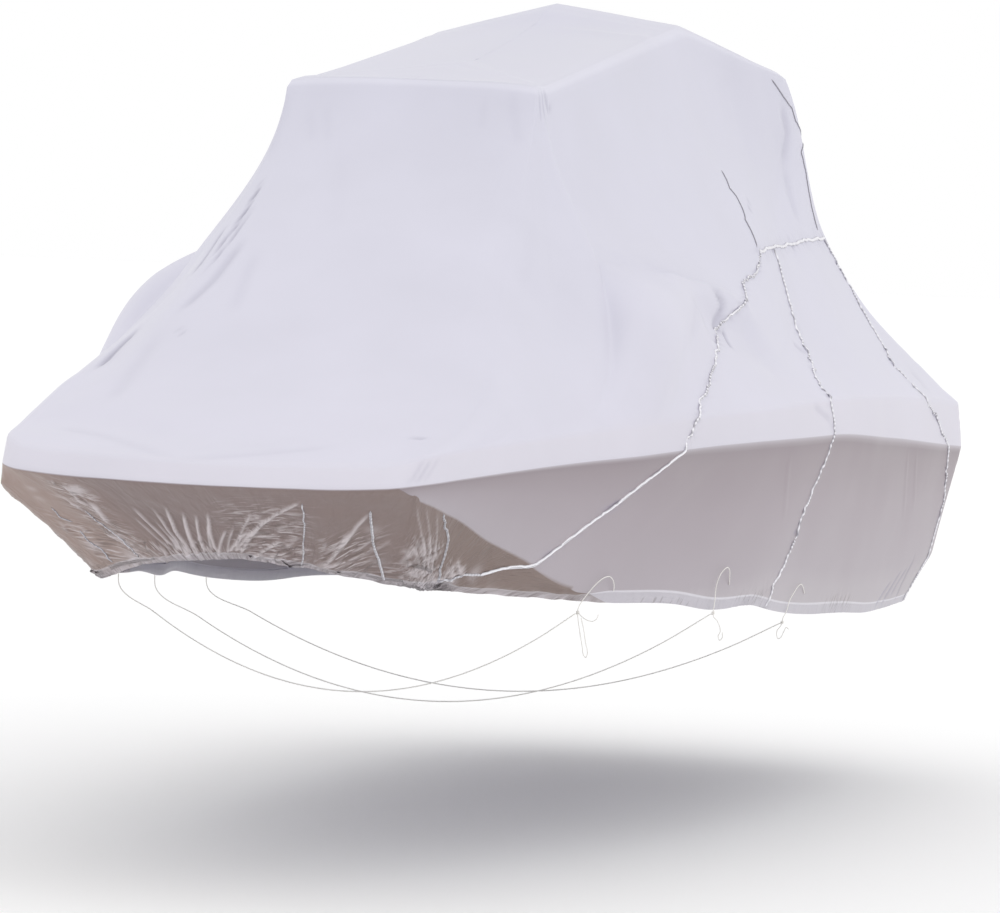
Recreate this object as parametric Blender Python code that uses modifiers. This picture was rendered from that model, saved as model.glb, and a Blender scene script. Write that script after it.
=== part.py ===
"""Fitted boat cover of white heat-shrink film, with its welded seams, ties and belly bands.

Frame: metres, +X to port, +Y towards the stern, +Z up. The origin lies just under the peak of the roof,
on the centre line, where the cover is carried. The tables below give widths from the centre line, lengths
aft of the bow edge and heights above the ground, and carried() turns them into that frame.
"""
import math

import bmesh
import bpy
import numpy as np

# ---------------------------------------------------------------- driving dimensions
PEAK_AFT = 3.85          # the peak of the roof, aft of the bow edge
PEAK_HEIGHT = 3.145      # the underside of the film at the peak, above the ground
FILM = 0.0025            # thickness of the film as a solid
SEAM_HALF_GAP = 0.0014   # each panel stops this far short of its seam
HEM_EXTRA_GAP = 0.0022   # and this much further in the folded hem
CREASE_INSET = 0.035     # the upper crease lies this far inboard of the rail
COLUMN = 0.140           # greatest spacing of the columns along the rail
HEM_RETURN = 0.045       # height of the film folded up inside the hem
HEM_GAP = 0.012          # distance of that fold from the outer film
FAR_ROOF_DROP = 0.060    # the far roof corner is carried this much lower
FAR_ROOF_AFT = 3.75      # and it lies this far aft
FAR_ROOF_REACH = 0.55
FAR_BOW_AFT = 0.70       # the far side of the bow hangs loose about here
FAR_BOW_REACH = 0.90
FAR_KNUCKLE_SLACK = (-0.085, 0.0, -0.045)
FAR_HEM_SLACK = (-0.030, 0.0, -0.035)
SHOULDER_AFT = 4.20      # from here aft, the film runs out over the shoulder before it drops
SHOULDER_RUN = 0.45
FORE_LEAN = (0.35, 0.35, 1.45)    # how the film arrives at the roof edge: straight down from the roof
AFT_LEAN = (1.50, 1.50, 0.90)     # or out over the shoulder

FIN_RADIUS = 0.0045      # half the height of a welded ridge
FIN_SWAY = 0.0045        # sideways sway of its puckers
PUCKER = 0.060           # pitch of the puckers
RIDGE_FOOT = 0.030       # an upright ridge starts this far above the hem
RIDGE_TOP = 0.022        # and stops this far short of the cross seam

CORD = 0.0036            # diameter of the tie cord
BAND = 0.0045            # diameter of the belly band cord
KNOT_RADIUS = 0.0048     # radius of the turns of a knot, on their centre line
KNOT_STRAND = 0.0018     # radius of the cord in a knot
KNOT_PITCH = 0.0042      # rise of one turn of a knot
KNOT_TURNS = 2.5
BAND_CLEAR = 0.0016      # gap between a belly band's end and its port knot
BAND_DROP = 0.004        # the band leaves this far below the middle of the knot
BAND_TURN = (-0.003, 0.004, 0.030)   # from the starboard knot to where the band rounds the hem
BAND_STAND = (-0.004, 0.0, 0.0)      # how far it stands out halfway to its slit
BAND_SPACING = 0.045     # distance of the points along a band

# Ring numbers, from the hem up to the middle of the roof
HEM, KNUCKLE, RAIL, CREASE, LOW, HIGH, EDGE, SPINE = range(8)

# Lower half of the ribs, port side, from the hem to the rail. Each row is a rib that runs up the cover.
SKIRT = (
    # rib              hem: x      y      z       knuckle: x  y     z       rail: x     y      z      band
    ("bow centre",     0.000, 0.400, 1.130,  0.000, 0.180, 1.262,  0.000, -0.070, 1.400, 0.075),
    ("bow quarter",    0.200, 0.430, 1.115,  0.290, 0.190, 1.262,  0.380, -0.055, 1.405, 0.075),
    ("bow cheek",      0.380, 0.510, 1.085,  0.540, 0.190, 1.290,  0.650, -0.010, 1.418, 0.075),
    ("bow corner",     0.500, 0.600, 1.060,  0.700, 0.130, 1.385,  0.734,  0.070, 1.428, 0.092),
    ("bow side",       0.560, 0.650, 1.050,  0.735, 0.420, 1.340,  0.830,  0.500, 1.450, 0.098),
    ("fore side",      0.600, 0.690, 1.045,  0.770, 0.780, 1.225,  0.960,  1.150, 1.478, 0.100),
    ("prop side",      0.620, 0.710, 1.042,  0.785, 0.920, 1.182,  1.060,  1.620, 1.493, 0.108),
    ("fore seam",      0.640, 0.740, 1.040,  0.805, 1.050, 1.140,  1.120,  1.930, 1.505, 0.111),
    ("mid side fore",  0.850, 1.500, 0.975,  0.880, 1.540, 1.005,  1.190,  2.370, 1.516, 0.112),
    ("mid side aft",   1.070, 2.400, 0.897,  1.090, 2.420, 0.990,  1.248,  2.850, 1.520, 0.120),
    ("mid seam",       1.165, 3.030, 0.860,  1.185, 3.090, 1.030,  1.285,  3.480, 1.520, 0.136),
    ("aft side",       1.175, 4.200, 0.772,  1.205, 4.250, 0.950,  1.292,  4.350, 1.482, 0.160),
    ("aft seam",       1.090, 5.560, 0.745,  1.160, 5.620, 0.930,  1.250,  5.570, 1.412, 0.185),
    ("stern corner",   1.000, 5.900, 0.735,  1.120, 5.950, 0.930,  1.225,  5.990, 1.390, 0.185),
    ("stern cheek",    0.800, 6.010, 0.725,  0.900, 6.070, 0.930,  0.980,  6.140, 1.382, 0.180),
    ("stern quarter",  0.420, 6.060, 0.720,  0.460, 6.120, 0.930,  0.500,  6.190, 1.376, 0.175),
    ("stern centre",   0.000, 6.070, 0.720,  0.000, 6.130, 0.930,  0.000,  6.200, 1.375, 0.175),
)

RIB_NAMES = [row[0] for row in SKIRT]

# Upper half of the same ribs, from the upper crease to the middle of the roof.
TENT = (
    # rib              low: x      y      z       high: x     y      z       roof edge: x  y    z      spine: y  z
    ("bow centre",     0.000, 0.700, 1.740,  0.000, 1.450, 2.230,  0.000, 2.070, 2.800,  2.120, 2.808),
    ("bow quarter",    0.330, 0.690, 1.735,  0.280, 1.450, 2.220,  0.220, 2.070, 2.798,  2.190, 2.818),
    ("bow cheek",      0.590, 0.660, 1.705,  0.480, 1.450, 2.190,  0.390, 2.070, 2.792,  2.300, 2.832),
    ("bow corner",     0.735, 0.630, 1.665,  0.570, 1.460, 2.140,  0.475, 2.070, 2.785,  2.450, 2.855),
    ("bow side",       0.865, 0.980, 1.675,  0.700, 1.650, 2.060,  0.478, 2.080, 2.786,  2.550, 2.868),
    ("fore side",      0.935, 1.520, 1.765,  0.770, 1.930, 2.130,  0.480, 2.100, 2.788,  2.650, 2.882),
    ("prop side",      0.955, 2.080, 2.060,  0.680, 2.160, 2.230,  0.482, 2.160, 2.786,  2.800, 2.892),
    ("fore seam",      1.020, 2.800, 1.930,  0.885, 3.760, 2.212,  0.510, 3.600, 3.035,  3.560, 3.060),
    ("mid side fore",  1.080, 3.050, 1.850,  0.877, 3.860, 2.215,  0.515, 3.700, 3.050,  3.700, 3.120),
    ("mid side aft",   1.110, 3.350, 1.800,  0.871, 3.950, 2.218,  0.525, 3.850, 3.070,  3.850, 3.150),
    ("mid seam",       1.080, 3.760, 1.820,  0.862, 4.130, 2.225,  0.560, 4.050, 3.045,  4.000, 3.110),
    ("aft side",       1.115, 4.550, 1.800,  0.845, 4.560, 2.245,  0.660, 4.400, 2.970,  4.250, 3.040),
    ("aft seam",       1.110, 5.470, 1.728,  0.830, 5.020, 2.262,  0.720, 4.650, 2.920,  4.420, 2.990),
    ("stern corner",   1.110, 5.740, 1.708,  0.780, 5.150, 2.240,  0.670, 4.770, 2.900,  4.530, 2.962),
    ("stern cheek",    0.860, 5.790, 1.705,  0.620, 5.240, 2.220,  0.500, 4.800, 2.892,  4.620, 2.942),
    ("stern quarter",  0.440, 5.820, 1.700,  0.320, 5.290, 2.210,  0.260, 4.815, 2.895,  4.710, 2.925),
    ("stern centre",   0.000, 5.830, 1.700,  0.000, 5.300, 2.210,  0.000, 4.820, 2.896,  4.760, 2.912),
)

# Main folds: a soft ridge (or trough, where the height is negative) along the line between two points.
FOLDS = (
    # fold                   from: x  y      z       to: x     y      z      width   height
    ("tuck over the prop",   0.880, 2.500, 2.105,  0.985, 3.190, 2.010, 0.060,  0.014),
    ("hollow under it",      0.985, 2.700, 1.965,  1.040, 3.080, 1.880, 0.120, -0.040),
    ("shoulder hollow",      0.755, 4.600, 2.560,  0.830, 4.350, 2.280, 0.130, -0.022),
    ("ridge by the peak",   -0.420, 3.620, 2.990,  0.470, 3.450, 3.020, 0.050,  0.008),
    ("fore dent, far",      -0.620, 0.330, 1.560, -0.300, 0.250, 1.550, 0.120, -0.018),
    ("fore dent, near",     -0.150, 0.200, 1.545,  0.300, 0.280, 1.560, 0.120, -0.012),
    ("slack by the port bow", 0.760, 0.900, 1.640,  0.640, 1.500, 2.000, 0.140, -0.015),
    ("slack by the far bow", -0.700, 0.900, 1.700, -0.600, 1.500, 2.050, 0.120, -0.020),
    ("stern slack",          0.300, 5.600, 1.850, -0.300, 5.500, 1.950, 0.200, -0.030),
    ("cheek fold, port",     0.400, 0.120, 1.300,  0.330, 0.400, 1.130, 0.060,  0.012),
    ("cheek fold, far",     -0.420, 0.120, 1.300, -0.300, 0.400, 1.130, 0.060,  0.012),
)

# Ties on the port hem. Each runs from its slit in the film, up and over, through its knot and down.
TIES = {
    "tie_fore": (
        (0.9295, 1.752, 0.998), (0.936, 1.733, 1.020), (0.940, 1.702, 1.041), (0.938, 1.651, 1.057),
        (0.927, 1.611, 1.051), (0.912, 1.583, 1.032), (0.895, 1.561, 1.005), (0.878, 1.540, 0.975),
        (0.868, 1.527, 0.950), (0.866, 1.525, 0.932), (0.868, 1.524, 0.915), (0.876, 1.523, 0.872),
        (0.889, 1.522, 0.812), (0.896, 1.522, 0.782), (0.903, 1.522, 0.775), (0.908, 1.522, 0.786),
        (0.900, 1.522, 0.830), (0.889, 1.522, 0.885), (0.880, 1.523, 0.914)),
    "tie_middle": (
        (1.1247, 2.612, 0.984), (1.131, 2.589, 1.010), (1.137, 2.563, 1.041), (1.137, 2.526, 1.054),
        (1.123, 2.482, 1.027), (1.112, 2.474, 0.984), (1.108, 2.480, 0.940), (1.104, 2.484, 0.908),
        (1.101, 2.485, 0.886), (1.104, 2.486, 0.872), (1.114, 2.488, 0.862), (1.124, 2.488, 0.846),
        (1.131, 2.487, 0.820), (1.124, 2.486, 0.801), (1.131, 2.485, 0.787), (1.141, 2.484, 0.800),
        (1.140, 2.480, 0.818)),
    "tie_aft": (
        (1.1852, 3.510, 0.904), (1.191, 3.466, 0.929), (1.197, 3.385, 0.945), (1.191, 3.325, 0.918),
        (1.183, 3.288, 0.885), (1.177, 3.275, 0.848), (1.166, 3.270, 0.822), (1.163, 3.270, 0.806),
        (1.157, 3.270, 0.790), (1.146, 3.270, 0.776), (1.144, 3.270, 0.758), (1.150, 3.270, 0.743),
        (1.160, 3.268, 0.748), (1.172, 3.264, 0.770), (1.184, 3.260, 0.789), (1.194, 3.258, 0.781)),
}
FREE_TAIL = (
    (0.872, 1.520, 0.930), (0.884, 1.511, 0.922), (0.909, 1.505, 0.909), (0.930, 1.505, 0.907),
    (0.943, 1.506, 0.917), (0.948, 1.507, 0.932))

# Belly bands: from the port knot, hanging under, to a knot and a slit on the starboard side.
BANDS = (
    # name          port knot: x  y      z      sag     starboard: knot x  y    z      slit x   y      z
    ("fore",        0.866, 1.525, 0.932,  0.335,  -0.868, 1.525, 0.942,  -0.9033, 1.600, 1.022),
    ("middle",      1.101, 2.485, 0.886,  0.384,  -1.094, 2.490, 0.868,  -1.1188, 2.540, 1.018),
    ("aft",         1.163, 3.270, 0.806,  0.339,  -1.174, 3.270, 0.822,  -1.1888, 3.330, 0.968),
)

# The hem rises between its ties: distance along the rail, half width and height of each rise.
HEM_RISES = (
    # along   width  height
    (3.450,   0.150, 0.020),
    (4.010,   0.240, 0.026),
    (5.000,   0.300, 0.018),
    (-3.450,  0.200, 0.020),
    (-4.050,  0.240, 0.022),
    (-5.300,  0.400, 0.018),
    (-2.500,  0.250, 0.012),
    (7.500,   0.300, 0.010),
    (-7.500,  0.300, 0.010),
)

# The upright seams wander: offset along the rail at each ring number, in metres.
WANDER = (
    # ring    fore    mid     aft
    (0.00,  -0.050, -0.030,  0.000),
    (0.50,  -0.090,  0.000,  0.080),
    (1.00,   0.100,  0.065,  0.150),
    (1.50,   0.080,  0.030,  0.250),
    (2.00,   0.010,  0.010,  0.050),
    (3.00,   0.080, -0.045, -0.340),
    (3.50,   0.030, -0.030, -0.440),
    (4.00,   0.010,  0.090, -0.520),
    (4.34,  -0.020,  0.040, -0.280),
    (4.67,  -0.065, -0.050,  0.000),
    (5.00,   0.000, -0.250, -0.050),
    (5.67,   0.000,  0.000,  0.000),
)
WANDER_REACH = {"fore seam": 0.60, "mid seam": 0.70, "aft seam": 1.60}

# Height of each welded ridge over its line, just enough to clear the facets beside it.
RIDGE_SEATS = {"weld_fore": 0.0022, "weld_mid": 0.0020, "weld_aft": 0.0020, "weld_cross": 0.0008,
               "weld_dart_fore": 0.0008, "weld_dart_aft": 0.0010}

# Rows of the film grid, as ring numbers with fractions between rings.
ROWS = (0.0, 0.5, 1.0, 1.5, 2.0, 3.0, 3.5, 4.0, 4.34, 4.67, 5.0, 5.33, 5.67, 6.0, 6.5, 7.0)

# Row of the cross seam in the film grid, which has the folded hem as its first row.
CROSS = 1 + ROWS.index(float(HIGH))

# Darts: short pinched welds above the cross seam, as (distance along the rail, ring number) points.
DARTS = {
    "weld_dart_fore": ((2.70, 5.02), (2.74, 5.20), (2.86, 5.32), (3.06, 5.45)),
    "weld_dart_aft": ((6.16, 5.05), (6.20, 5.22), (6.20, 5.50), (6.18, 5.72), (5.80, 5.92)),
}


def carried(points):
    """Move points from the bow edge and the ground to the frame under the peak."""
    return np.asarray(points, float) - np.array([0.0, PEAK_AFT, PEAK_HEIGHT])


# ---------------------------------------------------------------- form of the film
def monotone(knots, values, at):
    """Monotone cubic through the rows of a table: it never overshoots them."""
    step = np.diff(knots)[:, None]
    slope = np.diff(values, axis=0) / step
    tangent = np.zeros_like(values)
    before, after = slope[:-1], slope[1:]
    near = 2 * step[1:] + step[:-1]
    far = step[1:] + 2 * step[:-1]
    same = before * after > 0
    safe_before = np.where(same, before, 1.0)
    safe_after = np.where(same, after, 1.0)
    tangent[1:-1] = np.where(same, (near + far) / (near / safe_before + far / safe_after), 0.0)
    tangent[0] = slope[0]
    tangent[-1] = slope[-1]
    i = np.clip(np.searchsorted(knots, at, side="right") - 1, 0, len(knots) - 2)
    h = step[i]
    u = (at - knots[i])[:, None] / h
    return ((1 + 2 * u) * (1 - u) ** 2 * values[i] + u * (1 - u) ** 2 * h * tangent[i]
            + u * u * (3 - 2 * u) * values[i + 1] + u * u * (u - 1) * h * tangent[i + 1])


def bell(values, middle, reach):
    return np.exp(-((values - middle) / reach) ** 2)


def table_rings(side):
    """The eight rings of every rib on one side, as an array of ribs by rings by xyz."""
    skirt = np.array([row[1:] for row in SKIRT])
    tent = np.array([row[1:] for row in TENT])
    rail = skirt[:, 6:9]
    inward = tent[:, 0:2] - rail[:, 0:2]
    inward /= np.linalg.norm(inward, axis=1)[:, None]
    crease = rail + np.column_stack([inward * CREASE_INSET, skirt[:, 9]])
    spine = np.column_stack([np.zeros(len(tent)), tent[:, 9:11]])
    rings = np.stack([skirt[:, 0:3], skirt[:, 3:6], rail, crease,
                      tent[:, 0:3], tent[:, 3:6], tent[:, 6:9], spine], axis=1)
    if side > 0:
        return rings
    rings = rings * np.array([-1.0, 1.0, 1.0])
    rings[:, EDGE, 2] -= FAR_ROOF_DROP * bell(rings[:, EDGE, 1], FAR_ROOF_AFT, FAR_ROOF_REACH)
    beyond_corner = rings[:, RAIL, 0] < -SKIRT[RIB_NAMES.index("bow cheek")][7] - CREASE_INSET
    loose = bell(rings[:, RAIL, 1], FAR_BOW_AFT, FAR_BOW_REACH) * beyond_corner
    rings[:, KNUCKLE] += loose[:, None] * FAR_KNUCKLE_SLACK
    rings[:, HEM] += loose[:, None] * FAR_HEM_SLACK
    return rings


def rib_stations():
    """Distance along the rail from the bow centre to each rib."""
    rail = np.array([row[7:10] for row in SKIRT])
    return np.concatenate([[0.0], np.cumsum(np.linalg.norm(np.diff(rail, axis=0), axis=1))])


STATION = rib_stations()
HALF_ROUND = STATION[-1]
SEAM = {name: STATION[RIB_NAMES.index(name)] for name in ("fore seam", "mid seam", "aft seam")}


def rings_at(s):
    """The eight rings at distances s along the rail: port is positive, starboard negative."""
    port, far = table_rings(1), table_rings(-1)
    knots = np.concatenate([-STATION[:0:-1], STATION])
    table = np.concatenate([far[:0:-1], port])
    # Two guard ribs past each end let the stern run through smoothly.
    guard = 2 * HALF_ROUND - STATION[-2:-4:-1]
    knots = np.concatenate([-guard[::-1], knots, guard])
    table = np.concatenate([port[-2:-4:-1][::-1], table, far[-2:-4:-1]])
    flat = monotone(knots, table.reshape(len(table), -1), s)
    return flat.reshape(len(s), 8, 3)


def tent_curve(rings, v):
    """The rib between the crease and the roof edge, one cubic for each span, at ring number v."""
    point = [rings[:, k] for k in (CREASE, LOW, HIGH, EDGE)]
    span = min(int(v) - CREASE, 2)
    u = v - CREASE - span
    length = [np.linalg.norm(point[k + 1] - point[k], axis=1)[:, None] for k in range(3)]

    def tangent(k):
        back = (point[k] - point[k - 1]) / length[k - 1]
        ahead = (point[k + 1] - point[k]) / length[k]
        return (back * length[k] + ahead * length[k - 1]) / (length[k - 1] + length[k])

    start, end = point[span], point[span + 1]
    chord = end - start
    lead = tangent(span) * length[span] if span > 0 else None
    trail = tangent(span + 1) * length[span] if span < 2 else None
    if lead is None:
        lead = 1.5 * chord - 0.5 * trail
    if trail is None:
        aft = np.clip((rings[:, EDGE, 1] - SHOULDER_AFT) / SHOULDER_RUN, 0, 1)[:, None]
        trail = chord * (np.array(FORE_LEAN) * (1 - aft) + np.array(AFT_LEAN) * aft)
    return ((1 + 2 * u) * (1 - u) ** 2 * start + u * (1 - u) ** 2 * lead
            + u * u * (3 - 2 * u) * end + u * u * (u - 1) * trail)


def drawn_aside(s, v):
    """Distances along the rail of the columns s at ring number v: they follow the wander of the seams."""
    wander = np.array(WANDER)
    drawn = s.copy()
    for k, (name, reach) in enumerate(WANDER_REACH.items()):
        offset = np.interp(v, wander[:, 0], wander[:, k + 1])
        away = np.clip(np.abs(s - SEAM[name]) / reach, 0, 1)
        drawn += offset * np.cos(0.5 * math.pi * away) ** 2
    return drawn


def smooth_form(s, rows):
    """Points of the film without its folds, on a grid of columns s by rows."""
    grid = np.empty((len(s), len(rows), 3))
    for k, v in enumerate(rows):
        along = drawn_aside(s, v)
        rings = rings_at(along)
        if CREASE < v < EDGE:
            grid[:, k] = tent_curve(rings, v)
        else:
            low = min(int(v), SPINE - 1)
            grid[:, k] = rings[:, low] * (low + 1 - v) + rings[:, low + 1] * (v - low)
        rise = sum(height * bell(along, middle, width) for middle, width, height in HEM_RISES)
        grid[:, k, 2] += rise * max(0.0, 1 - v)
    return grid


def grid_normals(grid):
    """Outward normals of a grid, from the differences along its columns and rows."""
    normal = np.cross(np.gradient(grid, axis=0), np.gradient(grid, axis=1))
    size = np.linalg.norm(normal, axis=2)[:, :, None]
    return normal / np.maximum(size, 1e-9)


def fold_height(points):
    """Height of the main folds at points: a Gaussian across each fold's line."""
    height = np.zeros(points.shape[:-1])
    for row in FOLDS:
        start, end, width, rise = np.array(row[1:4]), np.array(row[4:7]), row[7], row[8]
        line = end - start
        along = np.clip((points - start) @ line / (line @ line), 0, 1)
        away = np.linalg.norm(points - start - along[..., None] * line, axis=-1)
        height += rise * np.exp(-(away / width) ** 2)
    return height


def film_points(s, rows):
    """Points of the film with its main folds."""
    grid = smooth_form(s, rows)
    quiet = np.clip((SPINE - np.asarray(rows)) * 2, 0, 1)
    lift = fold_height(grid) * quiet[None, :]
    return grid + grid_normals(grid) * lift[:, :, None]


def columns(start, end):
    """Distances along the rail from start to end, with every rib among them."""
    marks = np.unique(np.concatenate([[start, end], STATION, -STATION]))
    marks = marks[(marks >= start - 1e-9) & (marks <= end + 1e-9)]
    runs = [np.linspace(a, b, max(1, math.ceil((b - a) / COLUMN)), endpoint=False)
            for a, b in zip(marks[:-1], marks[1:])]
    return np.concatenate(runs + [[end]])


def hem_return(grid):
    """The row of film folded up inside the hem."""
    inward = -grid_normals(grid)[:, 0] * np.array([1.0, 1.0, 0.0])
    inward /= np.linalg.norm(inward, axis=1)[:, None]
    up = grid[:, 1] - grid[:, 0]
    up /= np.linalg.norm(up, axis=1)[:, None]
    return grid[:, 0] + inward * HEM_GAP + up * HEM_RETURN


# ---------------------------------------------------------------- Blender helpers
def clear_scene():
    for obj in list(bpy.data.objects):
        bpy.data.objects.remove(obj, do_unlink=True)


def new_material(name, colour, roughness, transmission=0.0):
    material = bpy.data.materials.new(name)
    material.use_nodes = True
    shader = material.node_tree.nodes["Principled BSDF"]
    shader.inputs["Base Color"].default_value = (*colour, 1.0)
    shader.inputs["Roughness"].default_value = roughness
    shader.inputs["Metallic"].default_value = 0.0
    shader.inputs["Transmission Weight"].default_value = transmission
    return material


def add_film(name, points, quads, material):
    """A sheet of film: an open surface with Solidify towards the inside."""
    mesh = bpy.data.meshes.new(name)
    mesh.from_pydata(points.tolist(), [], quads)
    body = bmesh.new()
    body.from_mesh(mesh)
    unused = [vert for vert in body.verts if not vert.link_faces]
    bmesh.ops.delete(body, geom=unused, context="VERTS")
    bmesh.ops.remove_doubles(body, verts=body.verts, dist=1e-5)
    bmesh.ops.dissolve_degenerate(body, edges=body.edges, dist=1e-6)
    body.to_mesh(mesh)
    body.free()
    mesh.shade_smooth()
    mesh.materials.append(material)
    sheet = bpy.data.objects.new(name, mesh)
    parts.objects.link(sheet)
    wall = sheet.modifiers.new("film thickness", "SOLIDIFY")
    wall.thickness = FILM
    wall.offset = -1.0
    wall.use_even_offset = False
    wall.use_rim = True
    return sheet


def add_tube(name, points, radius, material, resolution=0, cyclic=False):
    """A cord or ridge: a poly spline with a round bevel and filled caps."""
    curve = bpy.data.curves.new(name, "CURVE")
    curve.dimensions = "3D"
    curve.bevel_depth = radius
    curve.bevel_resolution = resolution
    curve.use_fill_caps = True
    spline = curve.splines.new("POLY")
    spline.points.add(len(points) - 1)
    for slot, point in zip(spline.points, points):
        slot.co = (*point, 1.0)
    spline.use_cyclic_u = cyclic
    curve.materials.append(material)
    tube = bpy.data.objects.new(name, curve)
    parts.objects.link(tube)
    return tube


def through(route, spacing):
    """A smooth curve through hand-set points, read off at even spacing."""
    route = np.asarray(route, float)
    chord = np.concatenate([[0.0], np.cumsum(np.linalg.norm(np.diff(route, axis=0), axis=1))])
    slope = np.gradient(route, chord, axis=0)
    at = np.linspace(0, chord[-1], 20 * len(route))
    i = np.clip(np.searchsorted(chord, at, side="right") - 1, 0, len(route) - 2)
    h = (chord[i + 1] - chord[i])[:, None]
    u = (at - chord[i])[:, None] / h
    dense = ((1 + 2 * u) * (1 - u) ** 2 * route[i] + u * (1 - u) ** 2 * h * slope[i]
             + u * u * (3 - 2 * u) * route[i + 1] + u * u * (u - 1) * h * slope[i + 1])
    length = np.concatenate([[0.0], np.cumsum(np.linalg.norm(np.diff(dense, axis=0), axis=1))])
    even = np.linspace(0, length[-1], max(3, round(length[-1] / spacing) + 1))
    return np.stack([np.interp(even, length, dense[:, k]) for k in range(3)], axis=1)


# ---------------------------------------------------------------- film panels
def whole_film():
    """Columns right round the cover, and the grid of the film on them with its folded hem first."""
    s = columns(-HALF_ROUND, HALF_ROUND)
    grid = film_points(s, np.array(ROWS))
    return s, np.concatenate([hem_return(grid)[:, None, :], grid], axis=1)


def draw_back(line, neighbours, rising=True):
    """Move an edge of film by the half gap of a seam, towards its neighbours."""
    shift = neighbours - line
    gap = np.full((len(line), 1), SEAM_HALF_GAP)
    if rising:
        gap[:2] += HEM_EXTRA_GAP
    return line + shift / np.linalg.norm(shift, axis=1)[:, None] * gap


def column_of(s, distance):
    """Number of the column at a distance along the rail."""
    return int(np.argmin(np.abs(s - distance)))


def build_main_film(s, grid, material):
    """One sheet right round, less the two quarter panels on the port side."""
    fore, aft = column_of(s, SEAM["fore seam"]), column_of(s, SEAM["aft seam"])
    sheet = grid.copy()
    sheet[fore, :CROSS + 1] = draw_back(grid[fore, :CROSS + 1], grid[fore - 1, :CROSS + 1])
    sheet[aft, :CROSS + 1] = draw_back(grid[aft, :CROSS + 1], grid[aft + 1, :CROSS + 1])
    sheet[fore:aft + 1, CROSS] = draw_back(
        sheet[fore:aft + 1, CROSS], grid[fore:aft + 1, CROSS + 1], rising=False)
    count = sheet.shape[1]
    quads = []
    for i in range(len(s) - 1):
        for k in range(count - 1):
            if fore <= i < aft and k < CROSS:
                continue
            a = i * count + k
            quads.append((a, a + count, a + count + 1, a + 1))
    return add_film("film_main", carried(sheet.reshape(-1, 3)), quads, material)


def build_quarter_panel(name, s, grid, start, end, material):
    """A panel let in between two seams, from the hem up to the cross seam."""
    first, last = column_of(s, start), column_of(s, end)
    sheet = grid[first:last + 1, :CROSS + 1].copy()
    sheet[0] = draw_back(sheet[0], sheet[1])
    sheet[-1] = draw_back(sheet[-1], sheet[-2])
    sheet[:, -1] = draw_back(sheet[:, -1], sheet[:, -2], rising=False)
    count = sheet.shape[1]
    quads = [(a, a + count, a + count + 1, a + 1)
             for i in range(len(sheet) - 1) for a in range(i * count, i * count + count - 1)]
    return add_film(name, carried(sheet.reshape(-1, 3)), quads, material)


# ---------------------------------------------------------------- welded seams
def ridge_along(name, line, normal, material):
    """A puckered ridge that follows a line of the film, swaying from side to side."""
    span = np.linalg.norm(np.diff(line, axis=0), axis=1)
    steps = np.maximum(1, np.round(2 * span / PUCKER)).astype(int)
    at = np.concatenate([k + np.arange(n) / n for k, n in enumerate(steps)] + [[len(line) - 1]])
    whole = np.arange(len(line))
    path = np.stack([np.interp(at, whole, line[:, k]) for k in range(3)], axis=1)
    out = np.stack([np.interp(at, whole, normal[:, k]) for k in range(3)], axis=1)
    out /= np.linalg.norm(out, axis=1)[:, None]
    across = np.cross(np.gradient(path, axis=0), out)
    across /= np.linalg.norm(across, axis=1)[:, None]
    sway = np.where(np.arange(len(at)) % 2 == 0, 1.0, -1.0)[:, None] * FIN_SWAY
    path = path + out * (FIN_RADIUS + RIDGE_SEATS[name]) + across * sway
    return add_tube(name, carried(path), FIN_RADIUS, material)


def build_seams(s, grid, material):
    normals = grid_normals(grid[:, 1:])
    film_rows = grid[:, 1:]
    for name, rib in (("weld_fore", "fore seam"), ("weld_mid", "mid seam"), ("weld_aft", "aft seam")):
        i = column_of(s, SEAM[rib])
        line, normal = trimmed(film_rows[i, :CROSS], normals[i, :CROSS], RIDGE_FOOT, RIDGE_TOP)
        ridge_along(name, line, normal, material)
    along = slice(column_of(s, SEAM["fore seam"]), column_of(s, SEAM["aft seam"]) + 1)
    ridge_along("weld_cross", film_rows[along, CROSS - 1], normals[along, CROSS - 1], material)
    for name, marks in DARTS.items():
        marks = np.array(marks)
        share = np.linspace(0, len(marks) - 1, 4 * len(marks))
        whole = np.arange(len(marks))
        spots = [facet_point(s, film_rows, s_mark, v_mark)
                 for s_mark, v_mark in zip(np.interp(share, whole, marks[:, 0]),
                                           np.interp(share, whole, marks[:, 1]))]
        line = np.array([spot[0] for spot in spots])
        normal = np.array([spot[1] for spot in spots])
        ridge_along(name, line, normal, material)


def trimmed(line, normal, first, last):
    """A line shortened by first and last at its two ends."""
    length = np.concatenate([[0.0], np.cumsum(np.linalg.norm(np.diff(line, axis=0), axis=1))])
    inner = length[(length > first) & (length < length[-1] - last)]
    at = np.concatenate([[first], inner, [length[-1] - last]])
    cut = [np.stack([np.interp(at, length, data[:, k]) for k in range(3)], axis=1)
           for data in (line, normal)]
    return cut[0], cut[1]


def facet_point(s, grid, s_mark, v_mark):
    """A point of the faceted film and its normal, at a distance along the rail and a ring number."""
    rows = np.array(ROWS)
    i = int(np.clip(np.searchsorted(s, s_mark, side="right") - 1, 0, len(s) - 2))
    k = int(np.clip(np.searchsorted(rows, v_mark, side="right") - 1, 0, len(rows) - 2))
    p = (s_mark - s[i]) / (s[i + 1] - s[i])
    q = (v_mark - rows[k]) / (rows[k + 1] - rows[k])
    near, far = grid[i, k:k + 2], grid[i + 1, k:k + 2]
    point = (1 - p) * ((1 - q) * near[0] + q * near[1]) + p * ((1 - q) * far[0] + q * far[1])
    out = np.cross(far[0] - near[0] + far[1] - near[1], near[1] - near[0] + far[1] - far[0])
    return point, out / np.linalg.norm(out)


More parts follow.
